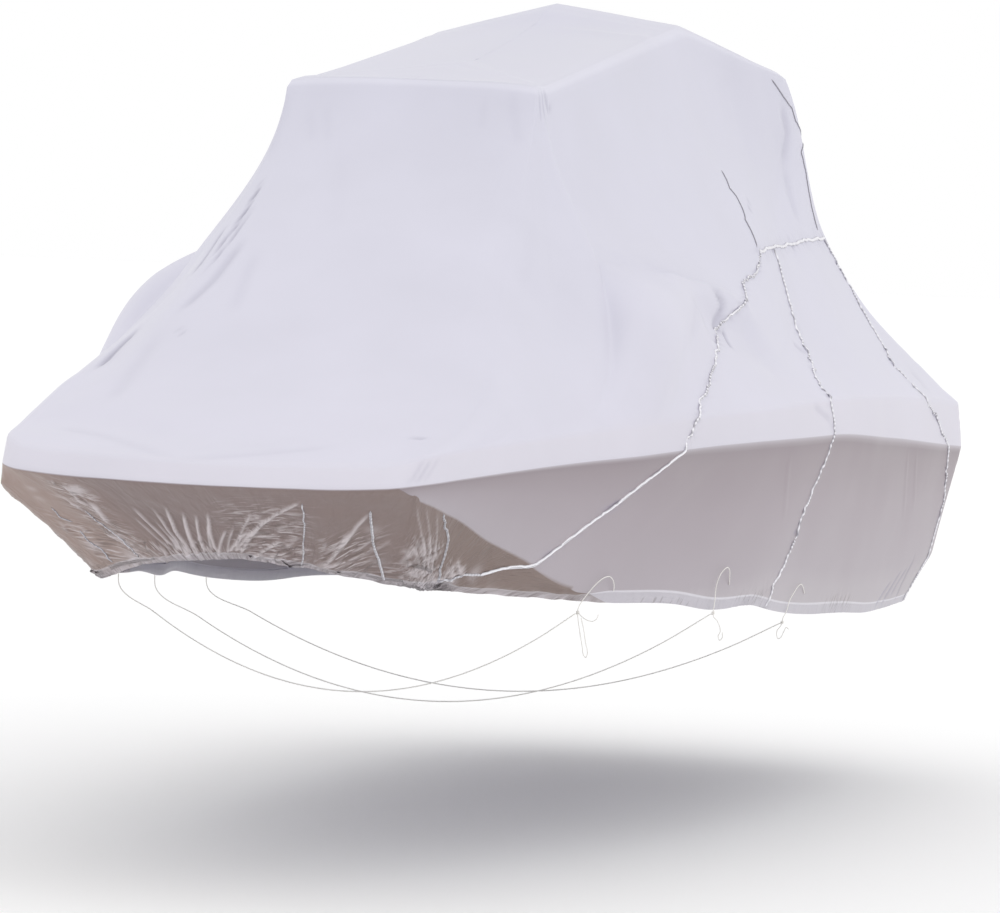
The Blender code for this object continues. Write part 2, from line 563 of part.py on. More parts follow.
# ---------------------------------------------------------------- ties and belly bands
def add_knot(name, centre, axis, material):
    """A knot as a short coil of cord round the strand that passes through it."""
    axis = np.asarray(axis, float) / np.linalg.norm(axis)
    side = np.cross(axis, (0.0, 1.0, 0.0))
    side /= np.linalg.norm(side)
    other = np.cross(axis, side)
    turn = np.linspace(0, 2 * math.pi * KNOT_TURNS, int(9 * KNOT_TURNS) + 1)[:, None]
    rise = (turn / (2 * math.pi) - KNOT_TURNS / 2) * KNOT_PITCH
    coil = centre + axis * rise + (side * np.cos(turn) + other * np.sin(turn)) * KNOT_RADIUS
    return add_tube(name, carried(coil), KNOT_STRAND, material, resolution=1)


def band_route(port_knot, sag, far_knot, slit):
    """Route of a belly band: it hangs between the knots, then climbs outside the hem to its slit."""
    port_knot, far_knot, slit = (np.asarray(p, float) for p in (port_knot, far_knot, slit))
    start = port_knot - (KNOT_RADIUS + KNOT_STRAND + BAND_CLEAR, 0.0, BAND_DROP)
    share = np.linspace(0, 1, 13)[:, None]
    hang = start + (far_knot - start) * share
    hang[:, 2] -= 4 * sag * (share * (1 - share))[:, 0]
    rounding = far_knot + BAND_TURN
    middle = 0.5 * (rounding + slit) + BAND_STAND
    return np.vstack([hang, rounding, middle, slit])


def build_ties(material):
    for name, route in TIES.items():
        add_tube(name + "_cord", carried(through(route, 3.0 * CORD)), CORD / 2, material, resolution=2)
    add_tube("tie_fore_tail", carried(through(FREE_TAIL, 3.0 * CORD)), CORD / 2, material, resolution=2)
    for name, *row in BANDS:
        port_knot, sag, far_knot, slit = row[0:3], row[3], row[4:7], row[7:10]
        route = band_route(port_knot, sag, far_knot, slit)
        add_tube("belly_band_" + name, carried(through(route, BAND_SPACING)), BAND / 2, material, resolution=2)
        strand = np.array(TIES["tie_" + name])
        at = int(np.argmin(np.linalg.norm(strand - port_knot, axis=1)))
        add_knot("knot_" + name, strand[at], strand[at + 1] - strand[at - 1], material)


# ---------------------------------------------------------------- main
clear_scene()
parts = bpy.data.collections.new("boat cover")
bpy.context.scene.collection.children.link(parts)

film = new_material("shrink film", (0.78, 0.78, 0.80), 0.38)
weld = new_material("welded film", (0.72, 0.72, 0.74), 0.34)
cord = new_material("polyester cord", (0.84, 0.83, 0.80), 0.70)

around, film_grid = whole_film()
build_main_film(around, film_grid, film)
build_quarter_panel("film_quarter_fore", around, film_grid, SEAM["fore seam"], SEAM["mid seam"], film)
build_quarter_panel("film_quarter_aft", around, film_grid, SEAM["mid seam"], SEAM["aft seam"], film)
build_seams(around, film_grid, weld)
build_ties(cord)
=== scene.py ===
import math
from functools import partial

import bpy
import numpy as np
from mathutils import Matrix, Vector


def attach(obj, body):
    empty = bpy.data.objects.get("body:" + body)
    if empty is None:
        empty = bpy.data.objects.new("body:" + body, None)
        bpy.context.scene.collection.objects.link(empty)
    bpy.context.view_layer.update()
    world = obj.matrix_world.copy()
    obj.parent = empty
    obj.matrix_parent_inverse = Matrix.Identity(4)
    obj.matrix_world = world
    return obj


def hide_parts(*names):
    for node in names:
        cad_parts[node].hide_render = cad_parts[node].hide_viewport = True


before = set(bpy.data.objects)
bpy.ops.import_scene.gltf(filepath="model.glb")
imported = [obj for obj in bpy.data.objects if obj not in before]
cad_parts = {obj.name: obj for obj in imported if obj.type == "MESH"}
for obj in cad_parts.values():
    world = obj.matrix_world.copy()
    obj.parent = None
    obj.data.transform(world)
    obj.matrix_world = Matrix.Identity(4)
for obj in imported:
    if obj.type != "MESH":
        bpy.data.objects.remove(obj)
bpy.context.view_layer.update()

# Looks of a fitted boat cover: white heat-shrink film over the bow and roof, two panels let in at the port
# quarter, puckered welds, a folded hem, ties and belly bands. Metres; +X port, +Y stern, +Z up.
# The tables count lengths aft from the bow edge and heights from the ground, and carried() brings them
# into the frame, whose origin is under the peak of the roof.

place = {"peakAft": 3.85, "peakHeight": 3.145}


def carried(points):
    return np.asarray(points, float) - np.array([0.0, place["peakAft"], place["peakHeight"]])


# The camera stands ahead of the bow, a little above the rail, and looks at the bow and the port side.
view = {
    "place": (6.438, -17.355, 2.421),
    "turn": 17.3,           # degrees to the left of straight aft
    "pitch": 2.76,          # degrees down
    "roll": 0.0387,         # radians
    "lens": 201.6, "sensor": 36.0,
    "near": 0.5, "far": 400.0,
}


def addCamera():
    turn, pitch = math.radians(view["turn"]), math.radians(view["pitch"])
    ahead = Vector((-math.sin(turn) * math.cos(pitch), math.cos(turn) * math.cos(pitch), -math.sin(pitch)))
    level = Vector((math.cos(turn), math.sin(turn), 0.0))
    top = level.cross(ahead)
    right = level * math.cos(view["roll"]) + top * math.sin(view["roll"])
    up = top * math.cos(view["roll"]) - level * math.sin(view["roll"])
    lens = bpy.data.cameras.new("camera")
    lens.lens, lens.sensor_width = view["lens"], view["sensor"]
    lens.clip_start, lens.clip_end = view["near"], view["far"]
    eye = bpy.data.objects.new("camera", lens)
    bpy.context.scene.collection.objects.link(eye)
    turned = Matrix((right, up, -ahead)).transposed().to_4x4()
    eye.matrix_world = Matrix.Translation(Vector(carried(view["place"]))) @ turned
    bpy.context.scene.camera = eye


addCamera()
print("camera placed")


def linear(code):
    # sRGB hex to linear colour
    parts = [int(code[k:k + 2], 16) / 255 for k in (1, 3, 5)]
    return tuple(c / 12.92 if c <= 0.04045 else ((c + 0.055) / 1.055) ** 2.4 for c in parts) + (1.0,)


def addNode(tree, kind, feeds=(), **settings):
    # Adds a shader node. Settings are properties or values of sockets. Feeds fill sockets in order or by key:
    # each is a socket, a node, whose first output is meant, a number or a hex colour.
    node = tree.nodes.new("ShaderNode" + kind)
    for name, value in settings.items():
        if hasattr(node, name):
            setattr(node, name, value)
        else:
            node.inputs[name.replace("_", " ")].default_value = value
    for socket, source in feeds.items() if isinstance(feeds, dict) else enumerate(feeds):
        if isinstance(source, bpy.types.Node):
            source = source.outputs[0]
        if isinstance(source, bpy.types.NodeSocket):
            tree.links.new(source, node.inputs[socket])
        else:
            node.inputs[socket].default_value = linear(source) if isinstance(source, str) else source
    return node


def startMaterial(name):
    made = bpy.data.materials.new(name)
    made.use_nodes = True
    made.node_tree.nodes.clear()
    return made, partial(addNode, made.node_tree)


filmLook = {
    "flare": "#857573", "flareDeep": "#82716b", "flareWarm": "#9e8a83",      # thin warm film under the bow: the hull's tan shows through, with painted shade as it faces down
    "deepFrom": (0.2, 1.5), "warmFrom": (-0.35, -0.72),     # where along the rail the two take over
    "pale": "#d0c7ca",          # film drawn into folds, or doubled, and partly a painted highlight on their crests
    "band": "#c6c3cc", "bandLine": "#e6e4ec",      # the folded hem is cooler and lets light through
    "bandShare": 0.75, "lineShare": 0.7, "bandUnder": 0.55,      # how much they show, and less under the bow
    "bandEdge": (0.040, 0.044), "line": (0.0025, 0.006),         # where the band ends; half width of its line
    "creased": "#a3a0b3",       # hollows of folds and pleats, where less sky reaches
    "trough": "#5f524e",        # painted shade on the dark side of a crinkle under the bow
    "cloud": 2.2, "cloudTone": (0.955, 1.0), "cloudGloss": (0.38, 0.50),    # slow drift of tone and roughness
    "grain": 0.004,             # smallest ripple of shrunk film that shows, 4 mm
    "streak": 0.012,            # width of the streaks of crinkled film, 12 mm
    "crinkle": 0.020,           # size of the crinkles beside a weld, 20 mm
    "drag": 0.034,              # pitch of the drag lines under the bow, 34 mm
}
# Colour of the film by ring number: hem 0, knuckle 1, rail 2, rail crease 3, roof edge 6, ridge line 7.
# Below the rail these tones are painted shade, darkest just under the rail and lighter towards the hem; the
# light line at the roof edge is a painted highlight.
filmToneAndShade = (
    (0.00, "#bab4ba"), (0.60, "#b7b0b6"), (1.00, "#b0a8af"), (1.50, "#a79da4"), (1.86, "#9b9096"),
    (1.95, "#94898f"), (1.99, "#aea6ad"), (2.02, "#d6d3de"), (2.90, "#d8d5e0"), (3.10, "#d7d5e2"),
    (5.96, "#d3d2df"), (6.00, "#dddce8"), (6.04, "#d3d2de"), (7.00, "#d1d0dd"),
)


def makeShrinkFilm():
    # White low-density polyethylene film, blown and heat-shrunk: the eye sees a satin skin with soft wide
    # highlights, faint ripples a few millimetres across, and crinkles that gather beside each weld.
    made, add = startMaterial("shrinkFilm")
    where = add("TexCoord").outputs["Object"]
    ring, below, along, up, pucker, pale, crease, crinkled, lean = (
        add("Attribute", attribute_name=name).outputs["Fac"]
        for name in ("ring", "flare", "along", "up", "pucker", "pale", "crease", "crinkled", "lean"))
    flare = add("MapRange", (below, 0.0, 0.03))
    cloudy = add("TexNoise", {"Vector": where}, Scale=filmLook["cloud"], Detail=3.0)
    # the tones by ring carry painted shade below the rail and a painted highlight along the roof edge
    ringToneAndShade = add("ValToRGB", (add("Math", (ring, spine), operation="DIVIDE"),))
    for k, (at, tone) in enumerate(filmToneAndShade):
        stop = ringToneAndShade.color_ramp.elements[k] if k < 2 else ringToneAndShade.color_ramp.elements.new(at / spine)
        stop.position, stop.color = at / spine, linear(tone)
    # crinkled film shows fine streaks that follow its folds: pale on the crest, partly a painted highlight,
    # and dark in the trough, which is painted shade
    cloth = add("CombineXYZ", (along, up))
    turned = add("VectorRotate", {"Vector": cloth, "Angle": lean}, rotation_type="Z_AXIS")
    long = add("Mapping", {"Vector": turned, "Scale": (0.16, 1.0, 1.0)})
    streak = add("TexNoise", {"Vector": long}, Scale=1 / filmLook["streak"], Detail=2.0, Distortion=0.5)
    crest = add("Math", (add("MapRange", (streak, 0.54, 0.63, 0.0, 0.8)), crinkled), operation="MULTIPLY")
    trough = add("Math", (add("MapRange", (streak, 0.38, 0.46, 0.5, 0.0)), crinkled), operation="MULTIPLY")
    # the folded hem shows as a band, with a paler weld line along its top
    shown = add("MapRange", (flare, 0.0, 1.0, 1.0, filmLook["bandUnder"]))
    inBand = add("MapRange", (up, *filmLook["bandEdge"], filmLook["bandShare"], 0.0))
    off = add("Math", (add("Math", (up, formFacts["hemFold"]), operation="SUBTRACT"),), operation="ABSOLUTE")
    inLine = add("MapRange", (off, *filmLook["line"], filmLook["lineShare"], 0.0))
    # the flare colours are the hull's tan showing through with painted shade, the pale colour is partly a
    # painted highlight, and the ring tones below the rail, the creased colour and the trough colour are
    # painted shade
    tone = filmLook["flare"]
    for share, colour in (
            (add("MapRange", (along, *filmLook["deepFrom"])), filmLook["flareDeep"]),
            (add("MapRange", (along, *filmLook["warmFrom"])), filmLook["flareWarm"]),
            (add("Math", (1.0, flare), operation="SUBTRACT"), ringToneAndShade),
            (add("Math", (crest, pale), operation="MAXIMUM"), filmLook["pale"]),
            (add("Math", (inBand, shown), operation="MULTIPLY"), filmLook["band"]),
            (add("Math", (inLine, shown), operation="MULTIPLY"), filmLook["bandLine"]),
            (crease, filmLook["creased"]),
            (trough, filmLook["trough"])):
        tone = add("Mix", {0: share, 6: tone, 7: colour}, data_type="RGBA").outputs[2]
    drift = add("MapRange", (cloudy, 0.3, 0.7, *filmLook["cloudTone"]))
    tone = add("Mix", {0: 1.0, 6: tone, 7: drift}, data_type="RGBA", blend_type="MULTIPLY").outputs[2]
    ripple = add("TexNoise", {"Vector": where}, Scale=1 / filmLook["grain"], Detail=2.0)
    crinkle = add("TexNoise", {"Vector": where}, Scale=1 / filmLook["crinkle"], Detail=3.0, Distortion=0.8)
    # drag lines under the bow and in the hem run mostly up the film, so the pattern is stretched that way
    tall = add("Mapping", {"Vector": cloth, "Scale": (1.0, 0.35, 1.0)})
    drag = add("TexNoise", {"Vector": tall}, Scale=1 / filmLook["drag"], Detail=1.5, Roughness=0.4,
               Distortion=0.8)
    dragShare = add("Math", (flare, inBand), operation="MAXIMUM")
    bent = add("Bump", {"Height": ripple}, Strength=0.05, Distance=0.001)
    for height, share, strength, distance in ((crinkle, pucker, 0.7, 0.010), (drag, dragShare, 0.45, 0.012),
                                              (streak, crinkled, 0.9, 0.008)):
        scaled = add("Math", (height, share), operation="MULTIPLY")
        bent = add("Bump", {"Height": scaled, "Normal": bent}, Strength=strength, Distance=distance)
    gloss = add("MapRange", (cloudy, 0.3, 0.7, *filmLook["cloudGloss"]))
    skin = add("BsdfPrincipled", {"Base Color": tone, "Roughness": gloss, "Normal": bent}, IOR=1.51)
    add("OutputMaterial", (skin,))
    return made


# the pinch colour is painted shade, and the crest colour is partly a painted highlight
weldLook = {"pinchShade": "#716d79", "crest": "#fbfaff", "lump": 0.006}      # lumps of 6 mm
# the lay colour is painted shade in the grooves between the strands
cordLook = {"lay": "#e0ddd8", "yarn": "#fbfaf6", "fuzz": 0.0008}        # fuzz of 0.8 mm


def makeWeldedFilm():
    # The same film melted into a bead: white and glassy on its lumps, grey in the pinches between them. The
    # white is partly a painted highlight and the grey is painted shade.
    made, add = startMaterial("weldedFilm")
    where = add("TexCoord").outputs["Object"]
    lumps = add("TexNoise", {"Vector": where}, Scale=1 / weldLook["lump"], Detail=2.0)
    bead = add("Attribute", attribute_name="bead").outputs["Fac"]
    shadingTint = add("Mix", {0: bead, 6: weldLook["pinchShade"], 7: weldLook["crest"]}, data_type="RGBA").outputs[2]
    bump = add("Bump", {"Height": lumps}, Strength=0.4, Distance=0.002)
    skin = add("BsdfPrincipled", {"Base Color": shadingTint, "Normal": bump}, Roughness=0.36, IOR=1.51)
    add("OutputMaterial", (skin,))
    return made


def makePolyesterCord():
    # Laid polyester cord: matt white yarns, with painted shade making them greyer in the lay between the
    # three strands.
    made, add = startMaterial("polyesterCord")
    where = add("TexCoord").outputs["Object"]
    fuzz = add("TexNoise", {"Vector": where}, Scale=1 / cordLook["fuzz"], Detail=2.0)
    lay = add("Attribute", attribute_name="lay").outputs["Fac"]
    shadingTint = add("Mix", {0: lay, 6: cordLook["lay"], 7: cordLook["yarn"]}, data_type="RGBA").outputs[2]
    bump = add("Bump", {"Height": fuzz}, Strength=0.4, Distance=0.0004)
    yarn = add("BsdfPrincipled", {"Base Color": shadingTint, "Normal": bump}, Roughness=0.8, IOR=1.5)
    add("OutputMaterial", (yarn,))
    return made


spine = 7            # ring number of the ridge line of the roof
formFacts = {
    "creaseInset": 0.035,
    # the far roof corner is carried lower about here
    "farRoofAft": 3.75, "farRoofReach": 0.55, "farRoofDrop": 0.060,
    # the far side of the bow hangs loose about here, where the rail is at least that far out
    "slackAft": 0.7, "slackReach": 0.9, "slackFrom": 0.70,
    "knuckleSlack": (-0.085, 0.0, -0.045), "hemSlack": (-0.030, 0.0, -0.035),
    # slopes at the roof edge, as shares of the chord: fore of the shoulder and aft of it
    "shoulderAft": 4.2, "shoulderRun": 0.45, "foreSlope": (0.35, 0.35, 1.45), "aftSlope": (1.5, 1.5, 0.9),
    "hemFold": 0.045, "hemGap": 0.012,      # height of the folded hem, and its distance from the outer film
    "wall": 0.003,
    "clearCells": 4,         # the inner wall keeps behind the deepest trough within so many cells
    "sharpFrom": 60.0,       # degrees: the rims don't bend the light on the faces beside them
}
shrinkFilm, weldedFilm, polyesterCord = makeShrinkFilm(), makeWeldedFilm(), makePolyesterCord()
print("materials made")


def addMesh(name, verts, faces, material, **values):
    # A mesh object at the origin, smooth shaded, with one float attribute for each named array of values.
    mesh = bpy.data.meshes.new(name)
    mesh.from_pydata(np.asarray(verts).tolist(), [], faces)
    mesh.materials.append(material)
    mesh.shade_smooth()
    for label, field in values.items():
        layer = mesh.attributes.new(label, "FLOAT", "POINT")
        layer.data.foreach_set("value", np.asarray(field, dtype=np.float32).ravel())
    made = bpy.data.objects.new(name, mesh)
    bpy.context.scene.collection.objects.link(made)
    return made


def settle(made, node=None):
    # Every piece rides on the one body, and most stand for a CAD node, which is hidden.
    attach(made, "root")
    if node:
        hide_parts(node)
    return made


def unit(v):
    return v / np.linalg.norm(v, axis=-1, keepdims=True)


def bell(away, width):
    return np.exp(-(away / width) ** 2)


def lengthsOf(line):
    # Distance of each point from the first, along the line.
    return np.concatenate([[0.0], np.cumsum(np.linalg.norm(np.diff(line, axis=0), axis=1))])


def cubic(u, start, lead, end, trail):
    # From start to end with the slopes lead and trail, as u goes from 0 to 1.
    return ((1 + 2 * u) * (1 - u) ** 2 * start + u * (1 - u) ** 2 * lead
            + u * u * (3 - 2 * u) * end + u * u * (u - 1) * trail)


def evenly(line, spacing):
    # The same line with its points at even spacing.
    length = lengthsOf(line)
    even = np.linspace(0, length[-1], max(3, round(length[-1] / spacing) + 1))
    return np.stack([np.interp(even, length, line[:, k]) for k in range(3)], axis=1)


def through(route, spacing):
    # A smooth curve through given points, a cubic on each chord, read off at even spacing.
    route = np.asarray(route, float)
    chord = lengthsOf(route)
    slope = np.gradient(route, chord, axis=0)
    at = np.linspace(0, chord[-1], 20 * len(route))
    i = np.clip(np.searchsorted(chord, at, side="right") - 1, 0, len(route) - 2)
    h = (chord[i + 1] - chord[i])[:, None]
    return evenly(cubic((at - chord[i])[:, None] / h, route[i], h * slope[i], route[i + 1], h * slope[i + 1]),
                  spacing)


def steadyFrames(path):
    # Two directions across a path that turn with it and never twist round it.
    ahead = unit(np.gradient(path, axis=0))
    across = np.empty_like(path)
    across[0] = unit(np.cross(ahead[0], np.eye(3)[np.argmin(np.abs(ahead[0]))]))
    for k in range(1, len(path)):
        across[k] = unit(across[k - 1] - ahead[k] * (across[k - 1] @ ahead[k]))
    return across, np.cross(ahead, across)


def sweptSkin(path, across, other, radius):
    # A closed skin: ring i is centred on path[i], and radius[i, k] is its reach at the k-th angle.
    count = radius.shape[1]
    angle = np.linspace(0, 2 * math.pi, count, endpoint=False)
    turned = across[:, None] * np.cos(angle)[None, :, None] + other[:, None] * np.sin(angle)[None, :, None]
    rings = path[:, None] + radius[:, :, None] * turned
    i, k = np.meshgrid(np.arange(len(path) - 1) * count, np.arange(count), indexing="ij")
    nextK = (k + 1) % count
    faces = np.stack([i + k, i + nextK, i + count + nextK, i + count + k], axis=-1).reshape(-1, 4).tolist()
    last = (len(path) - 1) * count
    faces += [list(range(count))[::-1], list(range(last, last + count))]
    return rings.reshape(-1, 3), faces


# Ties and belly bands
cordFacts = {
    "tie": 0.0036, "band": 0.0045,        # diameters
    "step": 0.0022, "sides": 12, "endSize": 0.6,      # spacing of its rings, their corners, size of cut ends
    "pitch": 0.014,                       # one turn of the three strands
    "strandDepth": 0.11,                  # how deep the lay is cut, as a share of the radius
    "knotRadius": 0.0048, "knotStrand": 0.0018, "knotPitch": 0.0042, "knotTurns": 2.5,
    "knotClear": 0.0016, "knotDrop": 0.004,       # where a band starts beside its port knot
}
# Each tie runs from its slit in the film, up and over, through its knot and down to a hanging loop or end.
tieRoutes = {
    "fore": (
        (0.9295, 1.752, 0.998), (0.936, 1.733, 1.020), (0.940, 1.702, 1.041), (0.938, 1.651, 1.057),
        (0.927, 1.611, 1.051), (0.912, 1.583, 1.032), (0.895, 1.561, 1.005), (0.878, 1.540, 0.975),
        (0.868, 1.527, 0.950), (0.866, 1.525, 0.932), (0.868, 1.524, 0.915), (0.876, 1.523, 0.872),
        (0.889, 1.522, 0.812), (0.896, 1.522, 0.782), (0.903, 1.522, 0.775), (0.908, 1.522, 0.786),
        (0.900, 1.522, 0.830), (0.889, 1.522, 0.885), (0.880, 1.523, 0.914)),
    "middle": (
        (1.1247, 2.612, 0.984), (1.131, 2.589, 1.010), (1.137, 2.563, 1.041), (1.137, 2.526, 1.054),
        (1.123, 2.482, 1.027), (1.112, 2.474, 0.984), (1.108, 2.480, 0.940), (1.104, 2.484, 0.908),
        (1.101, 2.485, 0.886), (1.104, 2.486, 0.872), (1.114, 2.488, 0.862), (1.124, 2.488, 0.846),
        (1.131, 2.487, 0.820), (1.124, 2.486, 0.801), (1.131, 2.485, 0.787), (1.141, 2.484, 0.800),
        (1.140, 2.480, 0.818)),
    "aft": (
        (1.1852, 3.510, 0.904), (1.191, 3.466, 0.929), (1.197, 3.385, 0.945), (1.191, 3.325, 0.918),
        (1.183, 3.288, 0.885), (1.177, 3.275, 0.848), (1.166, 3.270, 0.822), (1.163, 3.270, 0.806),
        (1.157, 3.270, 0.790), (1.146, 3.270, 0.776), (1.144, 3.270, 0.758), (1.150, 3.270, 0.743),
        (1.160, 3.268, 0.748), (1.172, 3.264, 0.770), (1.184, 3.260, 0.789), (1.194, 3.258, 0.781)),
}
freeTail = ((0.872, 1.520, 0.930), (0.884, 1.511, 0.922), (0.909, 1.505, 0.909), (0.930, 1.505, 0.907),
            (0.943, 1.506, 0.917), (0.948, 1.507, 0.932))
# Belly bands hang from the port knot to a knot and a slit on the starboard side.
bandRoutes = {
    "fore": {"port": (0.866, 1.525, 0.932), "sag": 0.335, "far": (-0.868, 1.525, 0.942),
             "slit": (-0.9033, 1.600, 1.022)},
    "middle": {"port": (1.101, 2.485, 0.886), "sag": 0.384, "far": (-1.094, 2.490, 0.868),
               "slit": (-1.1188, 2.540, 1.018)},
    "aft": {"port": (1.163, 3.270, 0.806), "sag": 0.339, "far": (-1.174, 3.270, 0.822),
            "slit": (-1.1888, 3.330, 0.968)},
}


def bandPath(port, sag, far, slit):
    # A parabola between the knots, then a short climb outside the hem to the slit.
    port, far, slit = (np.array(p) for p in (port, far, slit))
    aside = cordFacts["knotRadius"] + cordFacts["knotStrand"] + cordFacts["knotClear"]
    start = port - (aside, 0.0, cordFacts["knotDrop"])
    share = np.linspace(0, 1, 13)[:, None]
    hang = start + (far - start) * share
    hang[:, 2] -= 4 * sag * (share * (1 - share))[:, 0]
    rounding = far + (-0.003, 0.004, 0.030)
    middle = 0.5 * (rounding + slit) + (-0.004, 0.0, 0.0)
    return np.vstack([hang, rounding, middle, slit])


def laidCord(name, route, diameter, node):
    # Three strands laid round each other: the reach is a rosette of three lobes that turns along the path.
    path = through(route, cordFacts["step"])
    length = lengthsOf(path)
    angle = np.linspace(0, 2 * math.pi, cordFacts["sides"], endpoint=False)
    lobe = 0.5 + 0.5 * np.cos(3 * angle[None, :] - 2 * math.pi * length[:, None] / cordFacts["pitch"])
    reach = diameter / 2 * (1 - cordFacts["strandDepth"] * (1 - lobe))
    reach[[0, -1]] *= cordFacts["endSize"]
    verts, faces = sweptSkin(path, *steadyFrames(path), reach)
    made = settle(addMesh(name, carried(verts), faces, polyesterCord, lay=lobe), node)
    return length[-1]


def knotCoil(name, centre, axis, node):
    # A knot as a short coil of cord round the strand that passes through it.
    axis = unit(np.asarray(axis, float))
    side = unit(np.cross(axis, (0.0, 1.0, 0.0)))
    across = np.cross(axis, side)
    turn = np.linspace(0, 2 * math.pi * cordFacts["knotTurns"], 81)[:, None]
    rise = (turn / (2 * math.pi) - cordFacts["knotTurns"] / 2) * cordFacts["knotPitch"]
    coil = centre + axis * rise + (side * np.cos(turn) + across * np.sin(turn)) * cordFacts["knotRadius"]
    lobe = 0.5 + 0.5 * np.cos(np.linspace(0, 2 * math.pi, 10, endpoint=False)[None, :] * 3 + turn * 2)
    reach = cordFacts["knotStrand"] * (1 - cordFacts["strandDepth"] * (1 - lobe))
    verts, faces = sweptSkin(coil, *steadyFrames(coil), reach)
    return settle(addMesh(name, carried(verts), faces, polyesterCord, lay=lobe), node)


def buildCords():
    for name, route in tieRoutes.items():
        strand = np.array(route)
        at = int(np.argmin(np.linalg.norm(strand - bandRoutes[name]["port"], axis=1)))
        knot = knotCoil("knot" + name.title(), strand[at], strand[at + 1] - strand[at - 1], "knot_" + name)
        long = laidCord("tie" + name.title(), route, cordFacts["tie"], "tie_" + name + "_cord")
        band = laidCord("bellyBand" + name.title(), bandPath(**bandRoutes[name]), cordFacts["band"],
                        "belly_band_" + name)
        print(f"{name} tie {long:.3f} m, belly band {band:.3f} m")
    laidCord("tieForeTail", freeTail, cordFacts["tie"], "tie_fore_tail")


buildCords()

# Form of the film: rings of each rib, and the rail crease's rise.
skirtRibs = (
    # rib              hem: x      y      z       knuckle: x  y     z       rail: x     y      z      band
    ("bow centre",     0.000, 0.400, 1.130,  0.000, 0.180, 1.262,  0.000, -0.070, 1.400, 0.075),
    ("bow quarter",    0.200, 0.430, 1.115,  0.290, 0.190, 1.262,  0.380, -0.055, 1.405, 0.075),
    ("bow cheek",      0.380, 0.510, 1.085,  0.540, 0.190, 1.290,  0.650, -0.010, 1.418, 0.075),
    ("bow corner",     0.500, 0.600, 1.060,  0.700, 0.130, 1.385,  0.734,  0.070, 1.428, 0.092),
    ("bow side",       0.560, 0.650, 1.050,  0.735, 0.420, 1.340,  0.830,  0.500, 1.450, 0.098),
    ("fore side",      0.600, 0.690, 1.045,  0.770, 0.780, 1.225,  0.960,  1.150, 1.478, 0.100),
    ("prop side",      0.620, 0.710, 1.042,  0.785, 0.920, 1.182,  1.060,  1.620, 1.493, 0.108),
    ("fore seam",      0.640, 0.740, 1.040,  0.805, 1.050, 1.140,  1.120,  1.930, 1.505, 0.111),
    ("mid side fore",  0.850, 1.500, 0.975,  0.880, 1.540, 1.005,  1.190,  2.370, 1.516, 0.112),
    ("mid side aft",   1.070, 2.400, 0.897,  1.090, 2.420, 0.990,  1.248,  2.850, 1.520, 0.120),
    ("mid seam",       1.165, 3.030, 0.860,  1.185, 3.090, 1.030,  1.285,  3.480, 1.520, 0.136),
    ("aft side",       1.175, 4.200, 0.772,  1.205, 4.250, 0.950,  1.292,  4.350, 1.482, 0.160),
    ("aft seam",       1.090, 5.560, 0.745,  1.160, 5.620, 0.930,  1.250,  5.570, 1.412, 0.185),
    ("stern corner",   1.000, 5.900, 0.735,  1.120, 5.950, 0.930,  1.225,  5.990, 1.390, 0.185),
    ("stern cheek",    0.800, 6.010, 0.725,  0.900, 6.070, 0.930,  0.980,  6.140, 1.382, 0.180),
    ("stern quarter",  0.420, 6.060, 0.720,  0.460, 6.120, 0.930,  0.500,  6.190, 1.376, 0.175),
    ("stern centre",   0.000, 6.070, 0.720,  0.000, 6.130, 0.930,  0.000,  6.200, 1.375, 0.175),
)
tentRibs = (
    # rib              low: x      y      z       high: x     y      z       edge: x y      z      spine: y z
    ("bow centre",     0.000, 0.700, 1.740,  0.000, 1.450, 2.230,  0.000, 2.070, 2.800,  2.120, 2.808),
    ("bow quarter",    0.330, 0.690, 1.735,  0.280, 1.450, 2.220,  0.220, 2.070, 2.798,  2.190, 2.818),
    ("bow cheek",      0.590, 0.660, 1.705,  0.480, 1.450, 2.190,  0.390, 2.070, 2.792,  2.300, 2.832),
    ("bow corner",     0.735, 0.630, 1.665,  0.570, 1.460, 2.140,  0.475, 2.070, 2.785,  2.450, 2.855),
    ("bow side",       0.865, 0.980, 1.675,  0.700, 1.650, 2.060,  0.478, 2.080, 2.786,  2.550, 2.868),
    ("fore side",      0.935, 1.520, 1.765,  0.770, 1.930, 2.130,  0.480, 2.100, 2.788,  2.650, 2.882),
    ("prop side",      0.955, 2.080, 2.060,  0.680, 2.160, 2.230,  0.482, 2.160, 2.786,  2.800, 2.892),
    ("fore seam",      1.020, 2.800, 1.930,  0.885, 3.760, 2.212,  0.510, 3.600, 3.035,  3.560, 3.060),
    ("mid side fore",  1.080, 3.050, 1.850,  0.877, 3.860, 2.215,  0.515, 3.700, 3.050,  3.700, 3.120),
    ("mid side aft",   1.110, 3.350, 1.800,  0.871, 3.950, 2.218,  0.525, 3.850, 3.070,  3.850, 3.150),
    ("mid seam",       1.080, 3.760, 1.820,  0.862, 4.130, 2.225,  0.560, 4.050, 3.045,  4.000, 3.110),
    ("aft side",       1.115, 4.550, 1.800,  0.845, 4.560, 2.245,  0.660, 4.400, 2.970,  4.250, 3.040),
    ("aft seam",       1.110, 5.470, 1.728,  0.830, 5.020, 2.262,  0.720, 4.650, 2.920,  4.420, 2.990),
    ("stern corner",   1.110, 5.740, 1.708,  0.780, 5.150, 2.240,  0.670, 4.770, 2.900,  4.530, 2.962),
    ("stern cheek",    0.860, 5.790, 1.705,  0.620, 5.240, 2.220,  0.500, 4.800, 2.892,  4.620, 2.942),
    ("stern quarter",  0.440, 5.820, 1.700,  0.320, 5.290, 2.210,  0.260, 4.815, 2.895,  4.710, 2.925),
    ("stern centre",   0.000, 5.830, 1.700,  0.000, 5.300, 2.210,  0.000, 4.820, 2.896,  4.760, 2.912),
)
